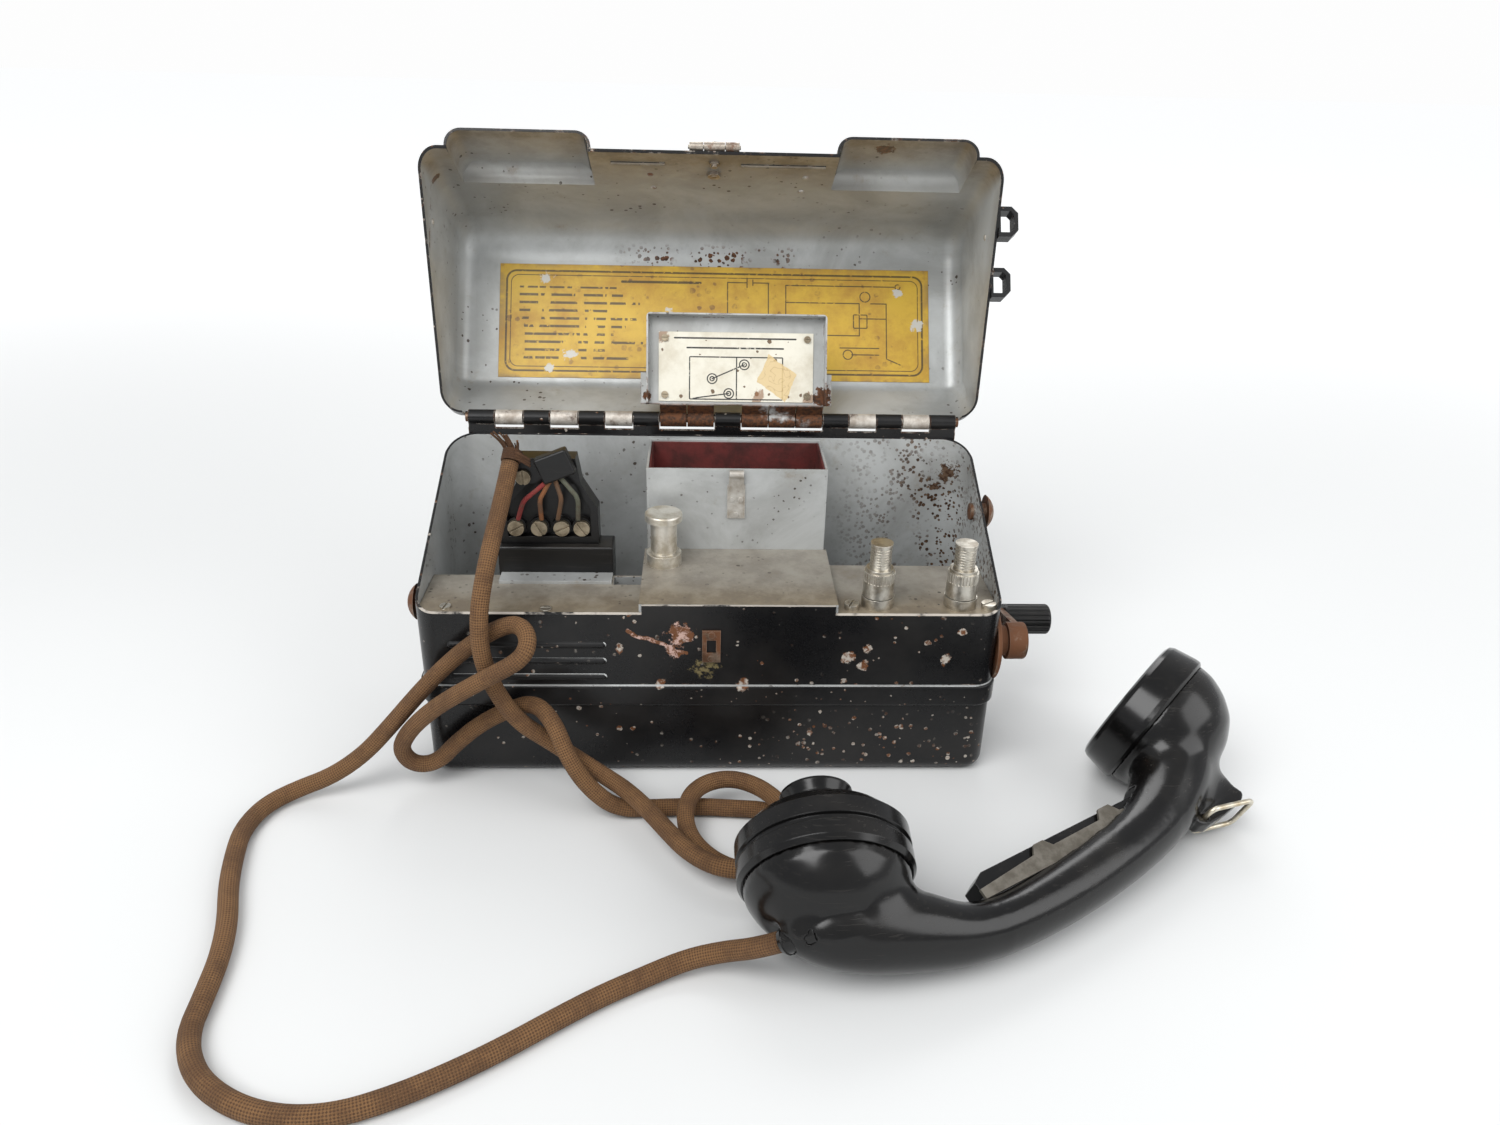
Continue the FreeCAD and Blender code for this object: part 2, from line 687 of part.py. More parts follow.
# ---------------------------------------------------------------- chassis
def slotted_screw(x, y, z, radius, head, shank, turn):
    """Cheese-headed screw seated at height z, its slot turned by so many degrees."""
    top = rod(V(x, y, z), Z_AXIS, radius, head)
    slot = box(x - radius - 1, x + radius + 1, y - 0.4, y + 0.4, z + head - 0.8, z + head + 1)
    slot.rotate(V(x, y, z), Z_AXIS, turn)
    pin = rod(V(x, y, z - shank), Z_AXIS, radius * 0.55, shank)
    return join(top, pin).cut(slot)


def make_chassis_screws():
    return group(slotted_screw(x, y, front_h, radius, head, shelf_t, turn)
                 for x, y, radius, head, turn in chassis_screw_places)


def make_chassis():
    """Folded frame of shelves and walls that fills the case in front of and beside the battery box."""
    z0 = front_h - shelf_t
    left = box(-shelf_x, box_x0, shelf_front_y, shelf_rear_left_y, z0, front_h)
    left = left.cut(box(well_notch_x, box_x0 - 1.2, well_notch_y, 5, z0 - 1, front_h + 1))
    right = box(box_x1, shelf_x, shelf_front_y, shelf_rear_right_y, z0, front_h)
    top = box(box_x0, box_x1, shelf_front_y, box_front_y, centre_z - shelf_t, centre_z)
    sheet = wall_t
    walls = [box(box_x0 - sheet, box_x0, shelf_front_y, box_front_y, z0 - 8, centre_z),
             box(box_x1, box_x1 + sheet, shelf_front_y, box_front_y, z0 - 8, centre_z),
             box(-shelf_x, box_x0 - sheet, shelf_rear_left_y - sheet, shelf_rear_left_y, steel, front_h),
             box(box_x1, shelf_x, shelf_rear_right_y - sheet, shelf_rear_right_y, steel, front_h),
             box(box_x0 - sheet, box_x0, shelf_rear_left_y - sheet, box_front_y, steel, centre_z),
             box(box_x1, box_x1 + sheet, shelf_rear_right_y - sheet, box_front_y, steel, centre_z),
             box(-shelf_x, box_x0, shelf_front_y, shelf_front_y + sheet, front_h - apron_h, front_h),
             box(box_x1, shelf_x, shelf_front_y, shelf_front_y + sheet, front_h - apron_h, front_h)]
    frame = join(left, right, top, *walls)
    holes = [rod(V(key_x, key_y, centre_z - 3), Z_AXIS, key_stem_r + 1.0, 5)]
    for x in post_x:
        holes.append(rod(V(x, post_y, z0 - 1), Z_AXIS, post_r + 1.2, 4))
    inner = rounded_block(-shelf_x, shelf_x, shelf_front_y, inner_rear_y - fit_gap, steel, rear_h,
                          front_corner_r - steel - fit_gap, rear_corner_r - steel - fit_gap)
    inner = inner.makeFillet(base_r - steel, edges_where(inner, lambda p: near(p.z, steel)))
    holes.append(make_chassis_screws())
    return frame.cut(holes).common(inner).removeSplitter()


# ---------------------------------------------------------------- line terminals
def make_terminal_posts():
    """Threaded posts on flanges, with their insulating bushes and nuts under the shelf."""
    posts = []
    for x in post_x:
        flange = rod(V(x, post_y, front_h), Z_AXIS, post_flange_r, post_flange_h)
        stud = rod(V(x, post_y, front_h), Z_AXIS, post_r, post_h - 1.0)
        for i in range(7):
            z = front_h + post_h - 10.0 + i * 1.25
            stud = stud.cut(tube(V(x, post_y, z), Z_AXIS, post_r + 1, post_r - 0.35, 0.5))
        cap = rod(V(x, post_y, front_h + post_h - 1.2), Z_AXIS, post_r + 0.3, 1.2)
        tail = rod(V(x, post_y, front_h - shelf_t - 9.0), Z_AXIS, post_r * 0.5, shelf_t + 9.0)
        bush = rod(V(x, post_y, front_h - shelf_t - 2.0), Z_AXIS, post_r + 2.2, 2.0)
        nut = rod(V(x, post_y, front_h - shelf_t - 5.0), Z_AXIS, post_r, 3.0)
        posts.append(join(flange, stud, cap, tail, bush, nut))
    return group(posts)


def make_terminal_nut(x):
    """Knurled clamp nut."""
    z0 = front_h + post_flange_h + run_gap
    body = rod(V(x, post_y, z0), Z_AXIS, nut_r, nut_h)
    grooves = []
    count = 28
    for i in range(count):
        a = 2 * math.pi * i / count
        foot = V(x + nut_r * math.cos(a), post_y + nut_r * math.sin(a), z0 + 7.0)
        grooves.append(rod(foot, Z_AXIS, 0.35, 5.0))
    neck = tube(V(x, post_y, z0 + nut_h - 1.5), Z_AXIS, nut_r + 1, nut_r - 0.8, 1.6)
    bore = rod(V(x, post_y, z0 - 1), Z_AXIS, post_r + 0.06, nut_h + 2)
    return body.cut(grooves).cut(neck).cut(bore)


# ---------------------------------------------------------------- press key
def make_key_bush():
    collar = rod(V(key_x, key_y, centre_z), Z_AXIS, key_stem_r + 1.9, 5.6)
    sleeve = rod(V(key_x, key_y, centre_z - shelf_t - 6.0), Z_AXIS, key_stem_r + 1.0, shelf_t + 6.0)
    nut = rod(V(key_x, key_y, centre_z - shelf_t - 4.0), Z_AXIS, key_stem_r + 1.9, 4.0)
    bore = rod(V(key_x, key_y, centre_z - 20), Z_AXIS, key_stem_r + 0.08, 40)
    return join(collar, sleeve, nut).cut(bore)


def make_key_plunger():
    z_head = key_top_z - key_head_h
    z_foot = 75.0
    stem = rod(V(key_x, key_y, z_foot), Z_AXIS, key_stem_r, z_head - z_foot)
    head = rod(V(key_x, key_y, z_head), Z_AXIS, key_head_r, key_head_h)
    head = head.makeFillet(1.0, edges_where(head, lambda p: near(p.z, key_top_z)))
    groove = tube(V(key_x, key_y, centre_z + 5.8), Z_AXIS, key_stem_r + 1, key_stem_r - 0.5, 1.0)
    tip = rod(V(key_x, key_y, z_foot - 7.0), Z_AXIS, 2.5, 7.5)
    return join(stem, head, tip).cut(groove)


def make_key_contacts():
    """Spring pile below the key: two leaves held in an insulated stack on the centre wall."""
    stack = box(key_x + 9.0, key_x + 17.0, key_y - 5.0, key_y + 5.0, 52.0, centre_z - shelf_t)
    leaves = [box(key_x - 6.0, key_x + 9.5, key_y - 3.0, key_y + 3.0, z, z + 0.6) for z in (54.0, 58.0)]
    return join(stack, *leaves)


# ---------------------------------------------------------------- socket and plug
def make_socket():
    block = box(socket_x0, socket_x1, shelf_rear_left_y, socket_y1, socket_floor_z, socket_top_z)
    block = block.makeFillet(1.0, edges_where(block, lambda p: near(p.z, socket_top_z)))
    slots = [box(x - 2.6, x + 2.6, plug_y0 + 4.0, plug_y0 + 6.0, socket_floor_z + 5.0, socket_top_z + 1)
             for x in plug_screw_x]
    return block.cut(slots)


def make_socket_strip():
    """Angle strip on the shelf in front of the socket."""
    return box(socket_x0 + 1.0, socket_x1 - fit_gap, well_notch_y + fit_gap, shelf_rear_left_y,
               front_h, front_h + shelf_t)


def make_plug_body():
    """Moulded plug with a sunk front face and a boss for each terminal screw."""
    shoulder_z = 114.0
    neck_z = 126.0
    wall = 3.5
    outline = [(plug_x0, socket_top_z), (plug_x1, socket_top_z), (plug_x1, shoulder_z), (plug_x1 - 7.0, neck_z),
               (plug_x1 - 9.0, plug_top_z), (plug_x0 + 8.5, plug_top_z), (plug_x0 + 8.5, neck_z),
               (plug_x0, shoulder_z)]
    sunk = [(plug_x0 + wall, socket_top_z + wall), (plug_x1 - wall, socket_top_z + wall),
            (plug_x1 - wall, shoulder_z), (plug_x1 - 10.0, neck_z), (plug_x0 + 13.5, neck_z),
            (plug_x0 + wall, shoulder_z)]
    body = plate_xz(outline, plug_y0, plug_y1)
    body = body.cut(plate_xz(sunk, plug_y0 - 1, plug_y0 + wall))
    bosses = [rod(V(x, plug_y0 + 0.5, plug_screw_z), Y_AXIS, 4.4, 3.2) for x in plug_screw_x]
    return join(body, *bosses)


def make_plug_clamp():
    """Small block that holds the cord's end on the plug."""
    block = box(-76.0, -61.0, plug_y0 - 6.0, plug_y0, 130.0, 142.0)
    block = block.makeFillet(1.0, block.Edges)
    block.rotate(V(-68.5, plug_y0, 136.0), Y_AXIS, -22.0)
    return block


def make_plug_screws():
    screws = []
    for x in plug_screw_x:
        y = plug_y0 + 0.5
        head = rod(V(x, y - 2.2, plug_screw_z), Y_AXIS, 3.6, 2.2)
        slot = box(x - 5, x + 5, y - 3, y - 1.4, plug_screw_z - 0.45, plug_screw_z + 0.45)
        slot.rotate(V(x, y, plug_screw_z), Y_AXIS, 40.0 + 9.0 * x)
        screws.append(head.cut(slot))
    x = plug_x0 + 12.0
    z = 129.5
    head = rod(V(x, plug_y0 - 2.0, z), Y_AXIS, 3.3, 2.0)
    slot = box(x - 0.45, x + 0.45, plug_y0 - 3, plug_y0 - 1.2, z - 5, z + 5)
    screws.append(head.cut(slot))
    return group(screws)


def make_plug_pins():
    return group(box(x - 2.0, x + 2.0, plug_y0 + 4.3, plug_y0 + 5.4 - 0.05, socket_floor_z + 8.0, socket_top_z)
                 for x in plug_screw_x)


# ---------------------------------------------------------------- crank
crank_arm_x = half_w + 13.4
crank_boss_x = half_w + 7.6


def make_crank_plate():
    """Bearing plate outside the right end wall with its bush."""
    plate_face_x = half_w + crank_plate_t
    rivet_ring_r = crank_plate_r - 5.0
    plate = rod(V(half_w, crank_y, crank_z), X_AXIS, crank_plate_r, crank_plate_t)
    plate = plate.makeFillet(0.9, edges_where(plate, lambda p: near(p.x, plate_face_x)))
    bush_x0 = half_w - steel - 4.0
    bush = rod(V(bush_x0, crank_y, crank_z), X_AXIS, crank_shaft_r + 2.9, crank_boss_x - run_gap - bush_x0)
    rivets = []
    for degrees in (90, 210, 330):
        a = math.radians(degrees)
        foot = V(half_w, crank_y + rivet_ring_r * math.cos(a), crank_z + rivet_ring_r * math.sin(a))
        rivets.append(rod(foot, X_AXIS, 1.8, crank_plate_t + 0.8))
    bore = rod(V(half_w - 20, crank_y, crank_z), X_AXIS, crank_shaft_r + pin_gap, 40)
    return join(plate, bush, *rivets).cut(bore)


def make_crank_arm():
    """Flat arm with its boss and the riveted pin that carries the knob."""
    x0 = crank_arm_x
    end_x = x0 + crank_arm_t
    boss = rod(V(crank_boss_x, crank_y, crank_z), X_AXIS, crank_boss_r, end_x - crank_boss_x)
    boss = boss.makeFillet(1.2, edges_where(boss, lambda p: near(p.x, end_x)))
    bar = box(x0, end_x, crank_y, crank_y + crank_arm_len, crank_z - crank_arm_half, crank_z + crank_arm_half)
    end = rod(V(x0, crank_y + crank_arm_len, crank_z), X_AXIS, crank_arm_half, crank_arm_t)
    arm = join(boss, bar, end)
    pin = rod(V(x0, crank_y + crank_arm_len, crank_z), X_AXIS, knob_pin_r, crank_arm_t + knob_len - 1.0)
    head_x = x0 + crank_arm_t + knob_len - 2.6
    head = rod(V(head_x, crank_y + crank_arm_len, crank_z), X_AXIS, knob_pin_r + 1.2, 1.6)
    arm = join(arm, pin, head)
    arm = arm.cut(rod(V(crank_boss_x - 1, crank_y, crank_z), X_AXIS, crank_shaft_r, end_x - crank_boss_x))
    arm.rotate(V(0, crank_y, crank_z), X_AXIS, crank_arm_deg)
    return arm


def knob_place():
    a = math.radians(crank_arm_deg)
    return crank_y + crank_arm_len * math.cos(a), crank_z + crank_arm_len * math.sin(a)


def make_crank_knob():
    """Fluted grip, free to turn on the arm's pin."""
    y, z = knob_place()
    x0 = crank_arm_x + crank_arm_t + run_gap
    body = rod(V(x0, y, z), X_AXIS, knob_r, knob_len - 1.5)
    body = body.makeFillet(1.8, edges_where(body, lambda p: near(p.x, x0 + knob_len - 1.5)))
    count = 18
    flutes = []
    for i in range(count):
        a = 2 * math.pi * i / count
        flutes.append(rod(V(x0 + 1.5, y + (knob_r + 0.25) * math.cos(a), z + (knob_r + 0.25) * math.sin(a)),
                          X_AXIS, 0.7, knob_len))
    bore = rod(V(x0 - 1, y, z), X_AXIS, knob_pin_r + pin_gap, knob_len + 2)
    sink = rod(V(x0 + knob_len - 3.2, y, z), X_AXIS, knob_pin_r + 1.6, 5)
    return body.cut(flutes).cut(bore).cut(sink)


# ---------------------------------------------------------------- generator
frame_x1 = half_w - 17.0
frame_x0 = frame_x1 - 48.0
end_t = 2.0
gear_x0 = frame_x1 + 4.5
gear_r = gear_module * gear_teeth / 2
pinion_r = gear_module * pinion_teeth / 2
mesh_dist = gear_r + pinion_r
arm_axis_y = -24.5
arm_axis_z = crank_z - math.sqrt(mesh_dist ** 2 - (arm_axis_y - crank_y) ** 2)
pole_half = 11.5
armature_shaft_r = 1.8
winding_y0 = 3.0
winding_y1 = 7.6
winding_half = 4.8
mesh_deg = math.degrees(math.atan2(arm_axis_z - crank_z, arm_axis_y - crank_y))


def gear_blank(teeth, radius, width, x0, first_deg):
    """Straight-sided spur teeth with working backlash, one tooth centred at first_deg."""
    root_r = radius - 1.15 * gear_module
    tip_r = radius + 0.8 * gear_module
    root_half = 0.85 * gear_module / root_r
    tip_half = 0.3 * gear_module / tip_r
    points = []
    for i in range(teeth):
        a = math.radians(first_deg) + 2 * math.pi * i / teeth
        for r, half in ((root_r, -root_half), (tip_r, -tip_half), (tip_r, tip_half), (root_r, root_half)):
            points.append((r * math.cos(a + half), r * math.sin(a + half)))
    return plate_yz(points, x0, x0 + width)


def make_drive_gear():
    gear = gear_blank(gear_teeth, gear_r, gear_w, gear_x0, mesh_deg)
    gear = gear.fuse(rod(V(gear_x0 - 2.0, 0, 0), X_AXIS, crank_shaft_r + 3.0, gear_w + 2.0))
    for i in range(4):
        a = math.radians(45 + 90 * i)
        gear = gear.cut(rod(V(gear_x0 - 5, 10.2 * math.cos(a), 10.2 * math.sin(a)), X_AXIS, 2.4, 15))
    gear = gear.cut(rod(V(gear_x0 - 5, 0, 0), X_AXIS, crank_shaft_r, 20))
    gear.translate(V(0, crank_y, crank_z))
    return gear.removeSplitter()


def make_pinion():
    gap_deg = mesh_deg + 180 + 180.0 / pinion_teeth
    pinion = gear_blank(pinion_teeth, pinion_r, gear_w, gear_x0, gap_deg)
    pinion.translate(V(0, arm_axis_y, arm_axis_z))
    return pinion


def make_crank_shaft():
    x0 = frame_x1 - 8.0
    x1 = crank_arm_x + crank_arm_t - 1.0
    return rod(V(x0, crank_y, crank_z), X_AXIS, crank_shaft_r, x1 - x0)


def make_generator_frame():
    """Two end plates, a base and the pole pieces, with bearings for both shafts."""
    y0 = shelf_front_y + 1.4
    y1 = shelf_rear_right_y - 2.0
    flat_y = front_y + base_r + fit_gap
    plates = [box(frame_x0, frame_x0 + end_t, y0, y1, steel + 2.0, magnet_top_z - 3.0),
              box(frame_x1, frame_x1 + end_t, y0, y1, steel + 2.0, magnet_top_z),
              box(frame_x0, frame_x1 + end_t, flat_y, y1, steel, steel + 3.0)]
    poles = box(frame_x0 + end_t, frame_x1, arm_axis_y - pole_half, arm_axis_y + pole_half,
                arm_axis_z - 12.0, arm_axis_z + 12.0)
    frame = join(poles, *plates)
    gap = box(frame_x0 + end_t, frame_x1, arm_axis_y - 3.0, arm_axis_y + 3.0,
              arm_axis_z - 13.0, arm_axis_z + 13.0)
    bore = rod(V(frame_x0 + end_t, arm_axis_y, arm_axis_z), X_AXIS, armature_r + armature_gap,
               frame_x1 - frame_x0 - end_t)
    shaft = rod(V(frame_x0 - 5, arm_axis_y, arm_axis_z), X_AXIS, armature_shaft_r + pin_gap, 60)
    crank_hole = rod(V(frame_x1 - 5, crank_y, crank_z), X_AXIS, crank_shaft_r + pin_gap, 20)
    return frame.cut([gap, bore, shaft, crank_hole])


def make_magnets():
    """Horseshoe magnets standing side by side over the pole pieces."""
    bars = []
    pitch = magnet_w + 1.0
    y0 = arm_axis_y - pole_half - magnet_t
    y1 = arm_axis_y + pole_half + magnet_t
    for i in range(magnet_count):
        x0 = frame_x0 + end_t + 2.0 + i * pitch
        x1 = x0 + magnet_w
        outer = box(x0, x1, y0, y1, steel + 3.0, magnet_top_z)
        crown = edges_where(outer, lambda p: near(p.z, magnet_top_z) and (near(p.y, y0) or near(p.y, y1)))
        window = box(x0 - 1, x1 + 1, arm_axis_y - pole_half, arm_axis_y + pole_half, steel,
                     magnet_top_z - magnet_t)
        bars.append(outer.makeFillet(magnet_bend_r, crown).cut(window))
    return group(bars)


def make_armature():
    """H-section armature on its shaft."""
    x0 = frame_x0 + end_t + 1.5
    x1 = frame_x1 - 1.5
    core = rod(V(x0, arm_axis_y, arm_axis_z), X_AXIS, armature_r, x1 - x0)
    slot_half = winding_half + fit_gap
    core = core.cut([box(x0 + 3, x1 - 3, y0, y0 + armature_r, arm_axis_z - slot_half, arm_axis_z + slot_half)
                     for y0 in (arm_axis_y + winding_y0, arm_axis_y - winding_y0 - armature_r)])
    shaft_x0 = frame_x0 - 1.0
    shaft = rod(V(shaft_x0, arm_axis_y, arm_axis_z), X_AXIS, armature_shaft_r, gear_x0 + gear_w - shaft_x0)
    return join(core, shaft, make_pinion())


def make_armature_winding():
    x0 = frame_x0 + end_t + 5.0
    x1 = frame_x1 - 5.0
    deep = winding_y1 - winding_y0
    return group(box(x0, x1, y0, y0 + deep, arm_axis_z - winding_half, arm_axis_z + winding_half)
                 for y0 in (arm_axis_y + winding_y0, arm_axis_y - winding_y1))


# ---------------------------------------------------------------- bell and electrical parts
bell_x = 39.0 - half_w
bell_y = -28.0
bell_pivot_z = 50.0
gong_r = 15.0
gong_z = 30.0
gong_x = (bell_x - 20.0, bell_x + 20.0)
gong_bore_r = 2.0
bobbin_x = (bell_x - 9.0, bell_x + 9.0)
bobbin_z = 62.0


def make_bell_frame():
    """Yoke hung on the shelf's rear wall, with the gong posts and the hammer's pivot."""
    y0 = bell_y + 4.0
    y1 = bell_y + 7.0
    yoke = box(bell_x - 16.0, bell_x + 16.0, y0, y1, bobbin_z - 18.0, bobbin_z + 12.0)
    foot = box(bell_x - 18.0, bell_x + 18.0, y1, shelf_rear_left_y - wall_t, bobbin_z, bobbin_z + 10.0)
    posts = [rod(V(x, bell_y - 7.0, gong_z), Y_AXIS, gong_bore_r, 14.0) for x in gong_x]
    bar = box(gong_x[0] - 4.0, gong_x[1] + 4.0, y0, y1, gong_z - 4.0, gong_z + 4.0)
    neck = box(bell_x - 4.0, bell_x + 4.0, y0, y1, gong_z, bell_pivot_z)
    pivot = rod(V(bell_x, bell_y - 3.0, bell_pivot_z), Y_AXIS, 1.0, 8.0)
    return join(yoke, foot, bar, neck, pivot, *posts)


def make_gongs():
    gongs = []
    dome_r = gong_r * 1.25
    for x in gong_x:
        middle = V(x, bell_y + 13.0, gong_z)
        slab = rod(V(x, bell_y - 7.0, gong_z), Y_AXIS, gong_r, 8.0)
        cup = Part.makeSphere(dome_r, middle).cut(Part.makeSphere(dome_r - 1.2, middle)).common(slab)
        hub = rod(V(x, bell_y - 6.2, gong_z), Y_AXIS, gong_bore_r + 1.6, 5.2)
        cup = cup.fuse(hub).cut(rod(V(x, bell_y - 20, gong_z), Y_AXIS, gong_bore_r, 30))
        gongs.append(cup.removeSplitter())
    return group(gongs)


def make_bell_coil_pair():
    """Two bobbins standing on the yoke."""
    coils = []
    for x in bobbin_x:
        core = rod(V(x, bell_y - 11.0, bobbin_z), Y_AXIS, 2.5, 15.0)
        winding = rod(V(x, bell_y - 9.0, bobbin_z), Y_AXIS, 6.6, 11.0)
        cheeks = [rod(V(x, bell_y + dy, bobbin_z), Y_AXIS, 7.6, 1.0) for dy in (-10.0, 2.0)]
        coils.append(join(core, winding, *cheeks))
    return group(coils)


def make_bell_hammer():
    """Hammer that hangs between the gongs, with the short lever the bobbins pull."""
    y0 = bell_y - 2.4
    pivot = V(bell_x, y0, bell_pivot_z)
    hub = rod(pivot, Y_AXIS, 3.0, 3.6)
    wire = box(bell_x - 0.6, bell_x + 0.6, y0 + 1.0, y0 + 2.2, gong_z + 2.0, bell_pivot_z)
    ball = Part.makeSphere(2.6, V(bell_x, y0 + 1.6, gong_z + 1.0))
    lever = box(bell_x - 2.5, bell_x + 2.5, y0, y0 + 3.0, bell_pivot_z, bell_pivot_z + 4.0)
    bore = rod(pivot - Y_AXIS * 5, Y_AXIS, 1.0 + pin_gap, 12)
    return join(hub, wire, ball, lever).cut(bore)


def make_induction_coil():
    """Coil lying between two cheeks on the case's floor."""
    x0 = -24.0
    x1 = 40.0
    z = 16.0
    y = front_y + base_r + fit_gap + 12.0
    body = rod(V(x0 + 2, y, z), X_AXIS, 10.0, x1 - x0 - 4)
    core = rod(V(x0 - 3, y, z), X_AXIS, 4.0, x1 - x0 + 6)
    cheeks = [box(x, x + 2.0, y - 12.0, y + 12.0, steel, z + 12.0) for x in (x0, x1 - 2.0)]
    return join(body, core, *cheeks)


def make_capacitor():
    """Sheet metal can hung under the centre shelf by its flange, two tags at its foot."""
    x1 = half_w - 77.0
    x0 = x1 - 46.0
    y0 = -42.0
    y1 = -22.0
    foot_z = 32.0
    flange_z = 77.0
    can = box(x0, x1, y0, y1, foot_z, flange_z + 1.0)
    can = can.makeFillet(2.0, edges_where(can, lambda p: not near(p.z, flange_z + 1.0, 0.5)))
    tags = [box(x, x + 4.0, y0 + 9.5, y0 + 10.1, foot_z - 3.4, foot_z + 0.5) for x in (x0 + 10.0, x0 + 32.0)]
    flange = box(x0, x1, y0 - 2.0, y1 + 2.0, flange_z, centre_z - shelf_t)
    return join(can, flange, *tags)


# ---------------------------------------------------------------- handset, in its own plane
hand_l = V(math.cos(math.radians(hand_az_deg)), math.sin(math.radians(hand_az_deg)), 0)
hand_f = V(-hand_l.y * math.cos(math.radians(hand_tilt_deg)), hand_l.x * math.cos(math.radians(hand_tilt_deg)),
           math.sin(math.radians(hand_tilt_deg)))
hand_n = hand_l.cross(hand_f)
mouth_dir = hand_f * math.cos(math.radians(mouth_turn_deg)) + hand_l * math.sin(math.radians(mouth_turn_deg))
ear_dir = hand_f * math.cos(math.radians(ear_turn_deg)) - hand_l * math.sin(math.radians(ear_turn_deg))
mouth_cup = ((-mouth_cap_t, 31.0), (-20.0, 30.4), (-26.0, 27.6), (-32.0, 22.0), (-37.0, 13.0), (-38.5, 4.0))
ear_cup = ((-ear_cap_t, 31.4), (-23.0, 31.0), (-31.0, 27.6), (-39.0, 21.5), (-44.5, 12.0), (-46.5, 4.0))


def lowest_fit(profile, direction):
    """Height of the profile's origin at which its lowest circle just reaches the floor."""
    rise = math.sqrt(1 - direction.z ** 2)
    return max(r * rise - d * direction.z for d, r in profile)


mouth_rings = mouth_cup + ((1.0, cap_r), (2.0 - mouth_cap_t, cap_r))
ear_rings = ear_cup + ((1.2 - ear_cap_t, cap_r),)
mouth_c = V(mouth_x, mouth_y, floor_gap + max(lowest_fit(mouth_rings, mouth_dir),
                                              lowest_fit(ear_rings, ear_dir) - ear_f * hand_f.z))


def hand(l, f, n=0.0):
    """Point of the handset's own frame: l along it, f towards its faces, n across it."""
    return mouth_c + hand_l * l + hand_f * f + hand_n * n


ear_c = hand(ear_l, ear_f)


def turned(profile, origin, axis):
    """Solid of revolution from (distance along the axis, radius) points."""
    side = axis.cross(hand_n)
    side.normalize()
    points = [origin + axis * d + side * r for d, r in profile]
    wire = Part.makePolygon([origin + axis * profile[0][0]] + points + [origin + axis * profile[-1][0]]
                            + [origin + axis * profile[0][0]])
    return Part.Face(wire).revolve(origin, axis, 360)


def section(l, f, degrees, across, thick):
    """Elliptic section of the handle: across in the handset's plane, thick across it."""
    a = math.radians(degrees)
    major_dir = hand_l * (-math.sin(a)) + hand_f * math.cos(a)
    centre = hand(l, f)
    if near(across, thick):
        curve = Part.Circle(centre, hand_n.cross(major_dir), across)
    elif thick > across:
        curve = Part.Ellipse(centre + hand_n * thick, centre + major_dir * across, centre)
    else:
        curve = Part.Ellipse(centre + major_dir * across, centre + hand_n * thick, centre)
    return Part.Wire([curve.toShape()])


def hand_plate(outline, n0, n1):
    """Prism across the handset from a polygon of (l, f) points."""
    wire = Part.makePolygon([hand(l, f, n0) for l, f in outline + outline[:1]])
    return Part.Face(wire).extrude(hand_n * (n1 - n0))


handle_end_l = -22.0
handle_end_f = -24.0
handle_end_r = 12.6
handle_sections = (
    (handle_end_l, handle_end_f, -46.0, handle_end_r, handle_end_r),
    (-10.0, -31.6, -42.0, 15.0, 16.6),
    (4.0, -39.2, -37.0, 15.0, 16.6),
    (18.0, -46.4, -29.0, 13.2, 15.2),
    (33.0, -53.4, -16.0, 10.6, 13.0),
    (50.0, -55.8, -5.0, 10.4, 12.4),
    (72.0, -55.8, 1.0, 11.2, 12.4),
    (98.0, -54.2, 5.0, 11.9, 12.8),
    (125.0, -50.6, 12.0, 12.6, 13.2),
    (148.0, -44.0, 22.0, 14.4, 15.0),
    (164.0, -35.5, 38.0, 16.5, 17.5),
    (174.0, -27.0, 56.0, 17.5, 19.0))


mouth_bore_r = 26.0
mouth_bore_d = 10.0
ear_bore_r = 25.5
ear_bore_d = 13.0
lug_half = 3.5
lug_outline = [(150.0, -48.0), (156.0, -59.0), (160.0, -60.6), (168.0, -60.4), (184.0, -58.6), (188.0, -56.5),
               (189.0, -43.0), (182.0, -30.0)]
bar_l0 = 43.0
bar_l1 = 137.0
bar_f0 = -44.5
bar_f1 = -36.4
bar_half = 5.0
slot_f = -46.6
plate_n = 5.6


